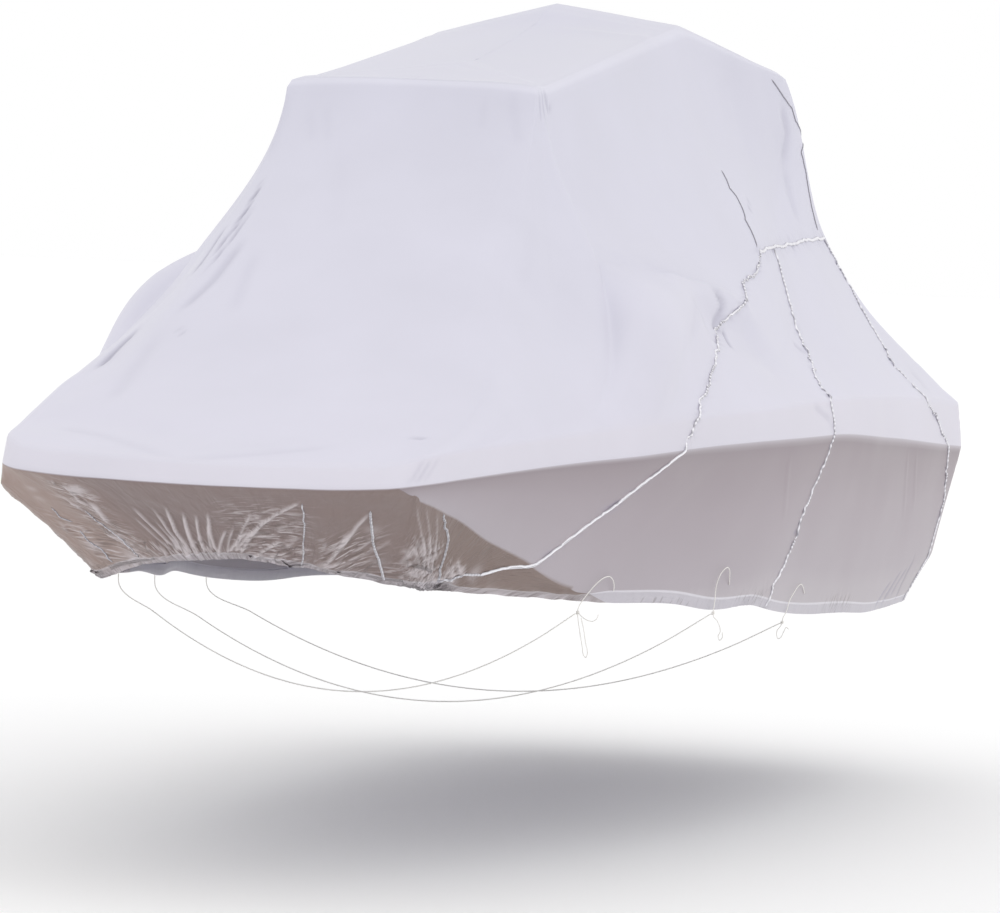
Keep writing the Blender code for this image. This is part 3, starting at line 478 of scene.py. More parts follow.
# Main folds: a soft ridge, or a trough where the height is negative, between two points.
mainFolds = (
    # fold                   from: x  y      z       to: x     y      z      width   height
    ("tuck over the prop",   0.880, 2.500, 2.105,  0.985, 3.190, 2.010, 0.060,  0.014),
    ("hollow under it",      0.985, 2.700, 1.965,  1.040, 3.080, 1.880, 0.120, -0.040),
    ("shoulder hollow",      0.755, 4.600, 2.560,  0.830, 4.350, 2.280, 0.130, -0.022),
    ("ridge over the peak", -0.420, 3.620, 2.990,  0.470, 3.450, 3.020, 0.050,  0.008),
    ("fore dent, far",      -0.620, 0.330, 1.560, -0.300, 0.250, 1.550, 0.120, -0.018),
    ("fore dent, near",     -0.150, 0.200, 1.545,  0.300, 0.280, 1.560, 0.120, -0.012),
    ("slack by the port bow", 0.760, 0.900, 1.640,  0.640, 1.500, 2.000, 0.140, -0.015),
    ("slack by the far bow", -0.700, 0.900, 1.700, -0.600, 1.500, 2.050, 0.120, -0.020),
    ("stern slack",          0.300, 5.600, 1.850, -0.300, 5.500, 1.950, 0.200, -0.030),
    ("cheek fold, port",     0.400, 0.120, 1.300,  0.330, 0.400, 1.130, 0.060,  0.012),
    ("cheek fold, far",     -0.420, 0.120, 1.300, -0.300, 0.400, 1.130, 0.060,  0.012),
)
# The hem rises between its ties: distance along the rail, half width and height of each rise.
hemRises = ((3.45, 0.15, 0.020), (4.01, 0.24, 0.026), (5.00, 0.30, 0.018), (-3.45, 0.20, 0.020),
            (-4.05, 0.24, 0.022), (-5.30, 0.40, 0.018), (-2.50, 0.25, 0.012), (7.50, 0.30, 0.010),
            (-7.50, 0.30, 0.010))
hem, knuckle, rail, crease, low, high, edge = range(7)
ribNames = [row[0] for row in skirtRibs]
railLine = np.array([row[7:10] for row in skirtRibs])
station = lengthsOf(railLine)
halfRound = station[-1]
seamAt = {name: station[ribNames.index(name + " seam")] for name in ("fore", "mid", "aft")}
# How far each seam strays along the rail from its rib, by ring number, and how far from it the film is drawn.
seamWander = (
    # ring   fore    mid     aft
    (0.00, -0.050, -0.030,  0.000),
    (0.50, -0.090,  0.000,  0.080),
    (1.00,  0.100,  0.065,  0.150),
    (1.50,  0.080,  0.030,  0.250),
    (2.00,  0.010,  0.010,  0.050),
    (3.00,  0.080, -0.045, -0.340),
    (3.50,  0.030, -0.030, -0.440),
    (4.00,  0.010,  0.090, -0.520),
    (4.34, -0.020,  0.040, -0.280),
    (4.67, -0.065, -0.050,  0.000),
    (5.00,  0.000, -0.250, -0.050),
    (5.67,  0.000,  0.000,  0.000),
)
wanderReach = {"fore": 0.60, "mid": 0.70, "aft": 1.60}


def drawnAside(s, v):
    # Draws the film sideways near each seam, fading as a squared cosine.
    table = np.array(seamWander)
    moved = np.array(s, float)
    for column, (name, reach) in enumerate(wanderReach.items(), 1):
        share = np.cos(0.5 * math.pi * np.clip(np.abs(s - seamAt[name]) / reach, 0, 1)) ** 2
        moved = moved + np.interp(v, table[:, 0], table[:, column]) * share
    return moved


def monotone(knots, values, at):
    # Monotone cubic through the rows of a table, which never overshoots them.
    step = np.diff(knots)[:, None]
    slope = np.diff(values, axis=0) / step
    before, after = slope[:-1], slope[1:]
    near, far = 2 * step[1:] + step[:-1], step[1:] + 2 * step[:-1]
    same = before * after > 0
    mean = (near + far) / (near / np.where(same, before, 1.0) + far / np.where(same, after, 1.0))
    tangent = np.vstack([slope[:1], np.where(same, mean, 0.0), slope[-1:]])
    i = np.clip(np.searchsorted(knots, at, side="right") - 1, 0, len(knots) - 2)
    h = step[i]
    return cubic((at - knots[i])[:, None] / h, values[i], h * tangent[i], values[i + 1], h * tangent[i + 1])


def tableRings(side):
    # The eight rings of every rib on one side: ribs by rings by xyz.
    skirt = np.array([row[1:] for row in skirtRibs])
    tent = np.array([row[1:] for row in tentRibs])
    inward = unit(tent[:, 0:2] - railLine[:, 0:2])
    fold = railLine + np.column_stack([inward * formFacts["creaseInset"], skirt[:, 9]])
    top = np.column_stack([np.zeros(len(tent)), tent[:, 9:11]])
    rings = np.stack([skirt[:, 0:3], skirt[:, 3:6], railLine, fold,
                      tent[:, 0:3], tent[:, 3:6], tent[:, 6:9], top], axis=1)
    if side > 0:
        return rings
    rings = rings * np.array([-1.0, 1.0, 1.0])
    drop = bell(rings[:, edge, 1] - formFacts["farRoofAft"], formFacts["farRoofReach"])
    rings[:, edge, 2] -= formFacts["farRoofDrop"] * drop
    loose = bell(rings[:, rail, 1] - formFacts["slackAft"], formFacts["slackReach"])
    loose *= np.abs(rings[:, rail, 0]) > formFacts["slackFrom"]
    rings[:, knuckle] += np.outer(loose, formFacts["knuckleSlack"])
    rings[:, hem] += np.outer(loose, formFacts["hemSlack"])
    return rings


def ringsAt(s):
    # The eight rings at distances s along the rail: port is positive, starboard negative.
    port, far = tableRings(1), tableRings(-1)
    guard = 2 * halfRound - station[-2:-4:-1]
    knots = np.concatenate([-guard[::-1], -station[:0:-1], station, guard])
    table = np.concatenate([port[-2:-4:-1][::-1], far[:0:-1], port, far[-2:-4:-1]])
    return monotone(knots, table.reshape(len(table), -1), s).reshape(len(s), 8, 3)


def tentCurve(rings, v):
    # The rib between the rail crease and the roof edge: one cubic for each span, at ring number v.
    point = [rings[:, k] for k in (crease, low, high, edge)]
    span = min(int(v) - crease, 2)
    length = [np.linalg.norm(point[k + 1] - point[k], axis=1)[:, None] for k in range(3)]

    def tangent(k):
        back, ahead = (point[k] - point[k - 1]) / length[k - 1], (point[k + 1] - point[k]) / length[k]
        return (back * length[k] + ahead * length[k - 1]) / (length[k - 1] + length[k])

    chord = point[span + 1] - point[span]
    if span < 2:
        trail = tangent(span + 1) * length[span]
    else:
        past = (rings[:, edge, 1] - formFacts["shoulderAft"]) / formFacts["shoulderRun"]
        aft = np.clip(past, 0, 1)[:, None]
        trail = chord * (np.array(formFacts["foreSlope"]) * (1 - aft) + np.array(formFacts["aftSlope"]) * aft)
    lead = tangent(span) * length[span] if span > 0 else 1.5 * chord - 0.5 * trail
    return cubic(v - crease - span, point[span], lead, point[span + 1], trail)


def smoothForm(s, rows, drawn=True):
    # Points of the film without folds, on a grid of columns s by ring numbers.
    grid = np.empty((len(s), len(rows), 3))
    for k, v in enumerate(rows):
        along = drawnAside(s, v) if drawn else s
        rings = ringsAt(along)
        if crease < v < edge:
            grid[:, k] = tentCurve(rings, v)
        else:
            below = min(int(v), spine - 1)
            grid[:, k] = rings[:, below] * (below + 1 - v) + rings[:, below + 1] * (v - below)
        if v < 1:
            rise = sum(height * bell(along - at, width) for at, width, height in hemRises)
            grid[:, k, 2] += rise * (1 - v)
    return grid


def gridNormals(grid):
    normal = np.cross(np.gradient(grid, axis=0), np.gradient(grid, axis=1))
    return normal / np.maximum(np.linalg.norm(normal, axis=2)[:, :, None], 1e-9)


def mainFoldHeight(points):
    # A bell curve across each fold's line.
    height = np.zeros(points.shape[:-1])
    for row in mainFolds:
        start, line = np.array(row[1:4]), np.array(row[4:7]) - np.array(row[1:4])
        along = np.clip((points - start) @ line / (line @ line), 0, 1)
        away = np.linalg.norm(points - start - along[..., None] * line, axis=-1)
        height += row[8] * bell(away, row[7])
    return height


def softNoise(points, size, seed):
    # Random heights on a cubic lattice of that size, joined by smooth steps; from -1 to 1.
    lattice = np.random.default_rng(seed).uniform(-1, 1, (32, 32, 32))
    q = np.asarray(points, float) / size
    cell = np.floor(q).astype(int)
    u = q - cell
    u = u * u * (3 - 2 * u)
    total = np.zeros(q.shape[:-1])
    for corner in np.ndindex(2, 2, 2):
        at = (cell + np.array(corner)) % 32
        weight = np.prod(np.where(np.array(corner) == 1, u, 1 - u), axis=-1)
        total += lattice[at[..., 0], at[..., 1], at[..., 2]] * weight
    return total


def roundRows(grid, rows, radius):
    # Rounds the kinks at the rings by sharing each row with its neighbours until the bend is that wide.
    for ring, wide in radius.items():
        k = int(np.argmin(np.abs(rows - ring)))
        gap = np.linalg.norm(grid[:, k] - grid[:, k - 1], axis=1).mean()
        reach = int(math.ceil(3 * wide / gap)) + 1
        first, last = max(1, k - reach), min(grid.shape[1] - 2, k + reach)
        share = 0.5 * np.clip(1.5 * (1 - np.abs(np.arange(first, last + 1) - k) / (reach + 1)), 0, 1)
        for _ in range(max(1, round(2 * (wide / gap) ** 2))):
            middle = 0.5 * (grid[:, first - 1:last] + grid[:, first + 1:last + 2])
            grid[:, first:last + 1] += (middle - grid[:, first:last + 1]) * share[None, :, None]
    return grid


# The seeds of the noises; the welds and the fields of crinkles add their own number to theirs.
seeds = {"waves": 11, "ripples": 12, "hem": 21, "frill": 22, "slack": 31, "pleats": 40, "unevenPleats": 50,
         "sway": 60, "smallSway": 70, "jitter": 80, "depth": 90, "crinkles": 500}
bends = {knuckle: 0.014, rail: 0.012, crease: 0.012, edge: 0.022}     # how wide the film bends at each ring

# Fine folds, set on the film: their width and height in mm, then each fold as a line of points, which
# are the distance along the rail and the ring number.
fineFolds = (
    # fold, width and height in mm, then for each line its points (s, v)
    ("front streaks", 18, -1.3, ((-0.63, 5.85), (-0.54, 5.68)), ((-0.54, 5.87), (-0.44, 5.67)),
     ((0.48, 5.92), (0.48, 5.77))),
    ("front long, far", 40, -2.5, ((-0.34, 5.62), (-0.10, 5.03))),
    ("front long, near", 30, -1.5, ((0.95, 5.37), (0.93, 4.93))),
    ("front edge, far", 26, -4.0, ((-0.93, 5.95), (-0.73, 5.62))),
    ("shoulder inner", 26, -9.0, ((5.79, 5.80), (5.86, 5.63), (5.55, 5.45))),
    ("shoulder lower", 28, -6.0, ((5.54, 5.42), (5.36, 5.12))),
    ("shoulder nick", 8, -4.0, ((3.70, 5.27), (3.39, 5.22))),
    ("tuck crest", 20, 6.0, ((2.42, 4.42), (2.51, 4.45), (2.58, 4.42), (2.63, 4.33))),
    ("tuck wedge", 24, -14., ((2.55, 4.42), (2.62, 4.20), (2.66, 4.00))),
    ("tuck slack", 30, -4.0, ((2.54, 4.17), (2.52, 3.68))),
    ("small wedge", 12, -7.0, ((2.72, 4.06), (2.84, 3.90))),
    ("aft hollow", 28, -6.0, ((6.22, 3.95), (6.24, 3.60), (6.20, 3.30))),
    ("side folds", 16, 3.0, ((5.52, 1.90), (5.72, 1.37)), ((5.70, 1.90), (5.88, 1.45))),
    ("side fold, mid", 18, 3.0, ((3.76, 1.88), (4.05, 1.38))),
    ("mid dimple", 14, -4.0, ((4.08, 4.12), (4.26, 4.02))),
    ("rail dimple", 16, -4.0, ((3.97, 2.87), (4.18, 2.42))),
    ("far corner lines", 6, -8.0, ((-0.695, 5.45), (-0.675, 5.30), (-0.655, 5.10), (-0.67, 4.92)),
     ((-0.73, 5.15), (-0.73, 4.98), (-0.72, 4.85))),
    ("far corner line, fine", 5, -5.0, ((-0.63, 5.25), (-0.62, 5.02), (-0.65, 4.80))),
    ("far wedge", 16, -14., ((-0.80, 4.52), (-0.785, 4.37), (-0.755, 4.22))),
    ("aft drag 1", 9, -9.0, ((6.10, 1.05), (6.05, 0.45), (6.04, 0.12))),
    ("aft drag 2", 8, -9.0, ((6.02, 0.82), (5.86, 0.25))),
    ("aft drag 3", 8, -8.0, ((5.90, 0.80), (5.72, 0.08))),
    ("aft drag 4", 8, -7.0, ((5.76, 0.60), (5.60, 0.08))),
    ("roof corner 1", 6, -2.5, ((1.20, 5.98), (1.40, 5.88))),
    ("roof corner 2", 6, -4.0, ((2.16, 5.98), (2.35, 5.88))),
    ("roof corners, fine", 6, -3.5, ((2.24, 5.98), (2.40, 5.88)), ((1.90, 5.98), (1.90, 5.86))),
    ("roof corner soft", 22, -2.5, ((0.64, 5.95), (0.70, 5.72))),
    ("far corner fold 1", 18, -7.0, ((-0.55, 4.98), (-0.57, 4.72), (-0.62, 4.52))),
    ("far corner fold 2", 26, -4.0, ((-0.44, 4.88), (-0.37, 4.47))),
    ("far slack 1", 16, 5.0, ((-0.78, 4.50), (-0.74, 4.17))),
    ("far slack 2", 30, -5.0, ((-0.63, 4.35), (-0.57, 3.72))),
    ("fore dents", 26, -4.0, ((-0.64, 3.37), (-0.47, 3.30), (-0.08, 3.03)),
     ((-0.08, 3.03), (0.21, 3.18), (0.40, 3.28))),
    ("bow ticks", 7, -4.0, ((0.64, 3.43), (0.70, 3.45)), ((-0.56, 4.37), (-0.52, 4.33))),
    ("corner pleat 1", 7, -2.0, ((0.73, 2.12), (0.78, 2.95))),
    ("corner pleat 2", 7, -2.5, ((0.76, 2.12), (0.82, 2.85))),
    ("corner pleat 3", 7, -1.5, ((0.80, 2.15), (0.87, 2.90))),
    ("flare star", 12, 6.0, ((-0.50, 1.74), (-0.49, 1.52))),
    ("flare pleat, far", 12, 5.0, ((-0.47, 1.42), (-0.54, 0.88))),
    ("fans", 6, 8.0, ((-0.34, 1.33), (-0.36, 0.25)), ((-0.25, 1.37), (-0.31, 0.38), (-0.32, 0.00)),
     ((-0.18, 1.43), (-0.31, 0.15)), ((-0.12, 1.32), (-0.27, 0.00)), ((-0.07, 1.25), (-0.22, 0.00)),
     ((-0.01, 1.32), (-0.11, 0.28)), ((0.03, 0.87), (-0.12, 0.10)), ((0.13, 0.85), (-0.03, 0.22)),
     ((0.37, 1.67), (0.20, 1.05), (0.01, 0.23)), ((0.23, 1.17), (0.03, 0.15)), ((0.29, 0.67), (0.08, 0.00))),
    ("fans between", 5, 6.0, ((-0.38, 1.10), (-0.40, 0.20)), ((-0.30, 1.10), (-0.33, 0.30), (-0.33, 0.05)),
     ((-0.215, 1.20), (-0.30, 0.10)), ((-0.15, 1.10), (-0.29, 0.02)), ((-0.04, 1.05), (-0.16, 0.10)),
     ((0.08, 1.00), (-0.06, 0.10)), ((0.18, 1.35), (0.02, 0.30))),
    ("gather pulls", 5, 4.5, ((0.80, 1.00), (1.00, 0.50), (1.15, 0.18)),
     ((0.92, 1.00), (1.08, 0.55), (1.22, 0.15)), ((1.04, 0.98), (1.18, 0.55), (1.32, 0.12))),
    ("slit A pleats", 10, 4.0, ((0.30, 1.47), (0.37, 1.67)), ((0.27, 0.92), (0.38, 1.23)),
     ((0.24, 0.52), (0.39, 0.77))),
    ("slit B ridge", 9, 7.0, ((0.63, 1.38), (0.59, 0.87), (0.51, 0.15))),
    ("slit B pleat", 12, 4.0, ((0.72, 0.63), (0.68, 0.50), (0.55, 0.13))),
    ("slit C pleats", 11, 4.0, ((0.96, 0.57), (0.72, 0.22)), ((1.05, 0.48), (0.73, 0.15)),
     ((1.18, 0.42), (0.76, 0.10)), ((1.18, 0.62), (0.86, 0.37))),
    ("slit C pleats, aft", 12, 3.0, ((1.70, 0.47), (1.67, 0.20)), ((1.93, 0.52), (1.87, 0.20))),
)
foldFacts = {
    "reach": 0.70,              # how far along the rail from its ends a fold can still be felt
    "dark": 6, "narrow": 11,    # depth and width in mm at which a hollow gets its full painted shade
}


def fineFoldHeight(points, s):
    # Each fold is a bell across its line, which runs over the form between its points and dies at both ends.
    # Also the painted shade of its hollow: the narrower, the darker.
    height, shadingTint = np.zeros(points.shape[:-1]), np.zeros(points.shape[:-1])
    for name, width, rise, *folds in fineFolds:
        dark = max(-rise, 0) / foldFacts["dark"] * min(1, foldFacts["narrow"] / width) ** 1.5
        for marks in map(np.array, folds):
            dense = np.linspace(0, len(marks) - 1, 6 * (len(marks) - 1) + 1)
            lineS, lineV = (np.interp(dense, np.arange(len(marks)), marks[:, k]) for k in (0, 1))
            close = (s > lineS.min() - foldFacts["reach"]) & (s < lineS.max() + foldFacts["reach"])
            if not close.any():
                continue
            line = smoothForm(lineS, lineV, drawn=False)[np.arange(len(dense)), np.arange(len(dense))]
            part = points[close]
            nearest, along = np.full(part.shape[:-1], 1e9), np.zeros(part.shape[:-1])
            for k, span in enumerate(np.diff(line, axis=0)):
                t = np.clip((part - line[k]) @ span / (span @ span), 0, 1)
                away = np.linalg.norm(part - line[k] - t[..., None] * span, axis=-1)
                closer = away < nearest
                nearest = np.where(closer, away, nearest)
                along = np.where(closer, (k + t) / (len(line) - 1), along)
            fade = np.clip(np.minimum(along, 1 - along) * 6, 0, 1) * 0.8 + 0.2
            shape = fade * bell(nearest, width / 1000)
            height[close] += rise / 1000 * shape
            shadingTint[close] += dark * shape
    return height, shadingTint


wrinkles = {
    "waveSize": 0.55, "wave": 0.0050,          # wide slack waves of the stretched film
    "rippleSize": 0.16, "ripple": 0.0016,
    "puckerPitch": 0.021, "pucker": 0.0080, "puckerReach": 0.030,      # short pleats square to a weld
    "puckerFlat": 0.006, "puckerUneven": 0.13,         # flat on the weld line; uneven over that length
    "hemPitch": 0.030, "hemCrinkle": 0.0022, "hemReach": 0.060,
    "hemBusy": (1.5, 0.9),                     # most crinkled about here, over this length of rail
    "flareSize": 0.060, "flareCrinkle": 0.0035,
    "frillPitch": 0.014, "frillReach": 0.035,  # pale crumpled edge of the hem under the bow
    "ridgeFrom": 0.002, "ridgeOver": 0.006,    # ridges this high start to look paler, and over how much
    "pinchShade": 0.004,                            # pleats this deep get the full painted shade
    "hemStreaks": 0.9, "hemStreakReach": 0.045, "hemStreakTurn": 80,     # share, reach, turn in degrees
}


def runLength(grid, axis):
    # Distance over the film from its first column or row.
    step = np.linalg.norm(np.diff(grid, axis=axis), axis=2)
    zero = np.zeros_like(np.take(step, [0], axis=axis))
    return np.cumsum(np.concatenate([zero, step], axis=axis), axis=axis)


def pleats(away, along, share, seed):
    # Pleats square to a weld: noise along it, dying with the distance from it. Also how near the weld is.
    spot = np.stack([along, np.full_like(along, 3.7 * seed), away * 0.35], axis=-1)
    pleat = softNoise(spot, wrinkles["puckerPitch"], seeds["pleats"] + seed)
    spot = spot * np.array([1, 1, 0])
    uneven = 0.55 + 0.45 * softNoise(spot, wrinkles["puckerUneven"], seeds["unevenPleats"] + seed)
    near = np.exp(-(away / wrinkles["puckerReach"]) ** 1.4) * share
    return wrinkles["pucker"] * pleat * (1 - bell(away, wrinkles["puckerFlat"])) * uneven * near, near


def seamPuckers(grid, s, rows):
    overFilm, upFilm = runLength(grid, 0), runLength(grid, 1)
    found = [(np.zeros(grid.shape[:2]), np.zeros(grid.shape[:2]))]
    upright = np.clip((high + 0.02 - rows) / 0.02, 0, 1)[None, :]
    for seed, at in enumerate(seamAt.values()):
        i = int(np.argmin(np.abs(s - at)))
        if abs(s[i] - at) < 1e-6:
            away = np.abs(overFilm - overFilm[i])
            found.append(pleats(away, upFilm[i][None, :] + 0 * away, upright, seed))
    k = int(np.argmin(np.abs(rows - high)))
    if abs(rows[k] - high) < 1e-6:
        between = ((s > seamAt["fore"] - 0.01) & (s < seamAt["aft"] + 0.01)).astype(float)[:, None]
        away = np.abs(upFilm - upFilm[:, [k]])
        along = (overFilm[:, [k]] - overFilm[int(np.argmin(np.abs(s - seamAt["aft"]))), k]) + 0 * away
        found.append(pleats(away, along, between, 7))
    return sum(height for height, _ in found), np.max([near for _, near in found], axis=0)


# Ring number below which the film turns warm, with the hull showing through, and dark with painted shade: the
# rail at the bow, then down along the knuckle.
flareBorder = ((0.70, 2.00), (0.72, 1.83), (0.755, 1.33), (0.866, 1.00), (1.20, 0.94), (1.70, 0.95),
               (2.75, 1.00), (3.04, 1.03), (3.16, 0.80), (3.24, 0.00), (3.40, -0.50))
farFlareBorder = ((1.30, 2.00), (1.70, 1.00), (3.04, 1.03), (3.24, 0.00), (3.40, -0.50))


def flareLine(s):
    port, far = np.array(flareBorder), np.array(farFlareBorder)
    return np.where(s > 0, np.interp(s, port[:, 0], port[:, 1]), np.interp(-s, far[:, 0], far[:, 1]))


# Film drawn into folds looks paler, partly as a painted highlight: distance along the rail, ring number,
# reach in mm and strength of a spot.
paleSpots = (
    (-1.45, 0.45, 45, 0.8), (-0.73, 0.30, 30, 0.8), (-0.66, 0.12, 45, 0.7), (-0.48, 1.66, 28, 0.9),
    (-0.70, 1.30, 18, 0.35), (-0.71, 0.95, 16, 0.35), (0.66, 0.90, 26, 0.35), (0.70, 0.30, 24, 0.35),
    (1.54, 0.15, 22, 0.8), (1.75, 0.15, 30, 0.5), (2.10, 0.20, 35, 0.6), (2.45, 0.45, 30, 0.5),
    (0.40, 0.05, 40, 0.35), (0.62, 0.03, 40, 0.4), (0.95, 0.05, 50, 0.4), (1.30, 0.08, 40, 0.45),
)
# Fields of short crinkles: their place and reach along the rail and in ring numbers, how many they are, their
# length, width and height in mm, and the turn of their lines from the hem in degrees, with its spread.
crinkleFields = (
    # field                 s      v     ds    dv   count  long wide  high  turn  spread
    ("beside the cheek",   0.22, 0.75, 0.17, 0.70,   46,   42,   7,  3.6,   12,   14),
    ("cheek, low",         0.33, 0.25, 0.10, 0.30,   24,   34,   6,  3.4,   25,   16),
    ("beside the quarter", 0.58, 0.45, 0.10, 0.40,   20,   55,   8,  3.6,   52,   12),
    ("beside the gather",  1.06, 0.34, 0.24, 0.26,   46,   50,   6,  3.0,   46,   10),
    ("gather, low",        1.15, 0.15, 0.45, 0.15,   34,   40,   6,  3.4,   24,   14),
    ("aft of the gather",  1.80, 0.25, 0.30, 0.22,   22,   50,   7,  3.0,  -24,   14),
    ("far star",          -0.52, 1.55, 0.07, 0.28,   20,   26,   7,  6.0,  -40,   40),
    ("far cheek",         -0.56, 0.85, 0.08, 0.55,   34,   36,   7,  4.2,  -42,   18),
    ("far cheek, low",    -0.66, 0.35, 0.10, 0.30,   34,   36,   7,  4.2,  -50,   22),
    ("far side",          -1.30, 0.50, 0.35, 0.50,   26,   60,   9,  3.5,  -30,   25),
    ("fan foot",          -0.30, 0.25, 0.22, 0.25,   26,   45,   6,  3.6,   78,   14),
    ("tie, fore",          3.45, 0.20, 0.12, 0.22,   14,   34,   6,  2.4,   80,   20),
    ("tie, middle",        4.05, 0.20, 0.16, 0.22,   18,   34,   6,  2.4,   80,   20),
    ("tie, aft",           5.00, 0.20, 0.16, 0.22,   14,   34,   6,  2.2,   80,   20),
)


crinkleFacts = {
    "edge": 1.1,                # how far a field's streaks reach, as a share of its own reach
    "full": 3.5,                # height in mm at which a field looks fully crinkled
    "sizes": (0.6, 1.3),        # least and most of each crinkle's length, width and height, as shares
    "curve": 2.5,               # how much a crinkle bends sideways
    "lookAside": 0.12,          # how far beside a field its crinkles can still be felt
}


def crinkleShare(drawn, rows):
    # How crinkled the film is, and the turn of the nearest field's lines in radians.
    share, lean = np.zeros(drawn.shape), np.zeros(drawn.shape)
    for name, atS, atV, reachS, reachV, count, long, wide, tall, turn, loose in crinkleFields:
        awayS, awayV = (drawn - atS) / reachS, (rows[None, :] - atV) / reachV
        field = np.exp(-(awayS / crinkleFacts["edge"]) ** 4 - (awayV / crinkleFacts["edge"]) ** 4)
        lean = np.where(field > share, -math.radians(turn), lean)
        share = np.maximum(share, field * min(1.0, tall / crinkleFacts["full"]))
    return share, lean


def crinkleHeight(points, s):
    # Each crinkle is a short bell ridge, a little curved; its place and turn are drawn by a seeded lot.
    height = np.zeros(points.shape[:-1])
    for k, (name, atS, atV, reachS, reachV, count, long, wide, tall, turn, loose) in enumerate(crinkleFields):
        lot = np.random.default_rng(seeds["crinkles"] + k)
        places = [at + reach * lot.uniform(-1, 1, count) for at, reach in ((atS, reachS), (atV, reachV))]
        turns = np.radians(turn + loose * lot.normal(0, 1, count))
        sizes = lot.uniform(*crinkleFacts["sizes"], (count, 3)) * np.array([long, wide, tall]) / 1000
        near = np.abs(s - atS) < reachS + crinkleFacts["lookAside"]
        if not near.any():
            continue
        part = points[near]
        total = np.zeros(part.shape[:-1])
        for (placeS, placeV), angle, (run, across, rise) in zip(np.transpose(places), turns, sizes):
            placeV = max(placeV, 0.02)
            ends = smoothForm(np.array([placeS, placeS + 0.01]), (placeV, placeV + 0.03), drawn=False)
            alongHem = unit(ends[1, 0] - ends[0, 0])
            upFilm = ends[0, 1] - ends[0, 0]
            upFilm = unit(upFilm - alongHem * (upFilm @ alongHem))
            line = alongHem * math.cos(angle) + upFilm * math.sin(angle)
            square = upFilm * math.cos(angle) - alongHem * math.sin(angle)
            away = part - ends[0, 0]
            u, w = away @ line, away @ square
            out = np.linalg.norm(away, axis=-1) < 3 * run
            bent = w - crinkleFacts["curve"] * u * u
            total += rise * np.exp(-(bent / across) ** 2 - (u / run) ** 2) * out
        height[near] += total
    return height


def paleShare(points):
    share = np.zeros(points.shape[:-1])
    for s, v, reach, strength in paleSpots:
        away = np.linalg.norm(points - smoothForm(np.array([s]), (v,), drawn=False)[0, 0], axis=-1)
        share = np.maximum(share, strength * bell(away, reach / 1000))
    return share


def filmHeights(grid, s, rows):
    # How far the film stands off its smooth form, and the fields that its material reads.
    quiet = np.clip((spine - rows) * 2, 0, 1)[None, :]              # the ridge line itself stays clean
    fine, hollow = fineFoldHeight(grid, s)
    waves = (wrinkles["wave"] * softNoise(grid, wrinkles["waveSize"], seeds["waves"])
             + wrinkles["ripple"] * softNoise(grid, wrinkles["rippleSize"], seeds["ripples"])) * quiet
    puckers, nearness = seamPuckers(grid, s, rows)
    up = runLength(grid, 1)
    alongHem = np.stack([s[:, None] + 0 * up, up * 0.3, 0 * up], axis=-1)
    busy, busyReach = wrinkles["hemBusy"]
    nearHem = bell(up, wrinkles["hemReach"]) * (0.6 + bell(s - busy, busyReach))[:, None]
    hemmed = wrinkles["hemCrinkle"] * softNoise(alongHem, wrinkles["hemPitch"], seeds["hem"]) * nearHem
    drawn = np.stack([drawnAside(s, v) for v in rows], axis=1)
    under = np.clip(flareLine(drawn) - rows[None, :], -1, 1)
    dark = np.clip(under / 0.10, 0, 1)
    crinkles = crinkleHeight(grid, s)
    slack = softNoise(grid * np.array([1, 1, 0.4]), wrinkles["flareSize"], seeds["slack"])
    slack = slack * (wrinkles["flareCrinkle"] * dark)
    height = mainFoldHeight(grid) * quiet + fine + waves + puckers + hemmed + (crinkles + slack)
    # ridges, the frill of the hem and the pale spots look paler, partly as a painted highlight, and hollows
    # and pinches darker, as painted shade
    ridges = np.clip((fine + crinkles - wrinkles["ridgeFrom"]) / wrinkles["ridgeOver"], 0, 1)
    ridges = ridges * (0.2 + 0.75 * dark)
    ridges = ridges * np.clip((rail - rows) / 0.2, 0, 1)
    frill = np.clip(0.3 + softNoise(alongHem, wrinkles["frillPitch"], seeds["frill"]), 0, 1) * dark
    frill = frill * np.exp(-up / wrinkles["frillReach"])
    pale = np.clip(np.max([paleShare(grid), ridges, 0.8 * frill], axis=0), 0, 1)
    # painted shade in the hollows of folds and in the pinched pleats beside the welds
    pinched = np.clip(-puckers / wrinkles["pinchShade"], 0, 1)
    foldShade = np.clip(0.6 * hollow + pinched * 0.55, 0, 0.9) * (1 - dark)
    crinkled, lean = crinkleShare(drawn, rows)
    atHem = wrinkles["hemStreaks"] * bell(up, wrinkles["hemStreakReach"])
    atHem = atHem * np.clip((flareLine(s)[:, None] - 0.5) / 0.3, 0, 1)
    lean = np.where(atHem > crinkled, -math.radians(wrinkles["hemStreakTurn"]), lean)
    return height, {"flare": under, "pucker": nearness, "up": up, "along": s[:, None] + 0 * up,
                    "ring": rows[None, :] + 0 * up, "pale": pale, "crease": foldShade,
                    "crinkled": np.maximum(crinkled, atHem), "lean": lean}


def inwards(normals):
    return unit(-normals[:, 0] * np.array([1.0, 1.0, 0.0]))


def withHem(grid, normals, values):
    # Adds the film folded up inside the hem: it turns in from the lowest row and climbs.
    inward, up = inwards(normals), unit(grid[:, 1] - grid[:, 0])
    gap, tall = formFacts["hemGap"], formFacts["hemFold"]
    fold = np.stack([grid[:, 0] + inward * gap + up * tall,
                     grid[:, 0] + inward * gap + up * tall * 0.5,
                     grid[:, 0] + inward * gap * 0.7 + up * 0.004], axis=1)
    return (np.concatenate([fold, grid], axis=1),
            {label: np.concatenate([field[:, :1]] * 3 + [field], axis=1) for label, field in values.items()})


def lowest(field, reach):
    # The least value within a few cells, so that the inner wall clears the deepest trough beside it.
    least = field.copy()
    for axis in (0, 1):
        least = np.min([np.roll(least, step, axis) for step in range(-reach, reach + 1)], axis=0)
    return least


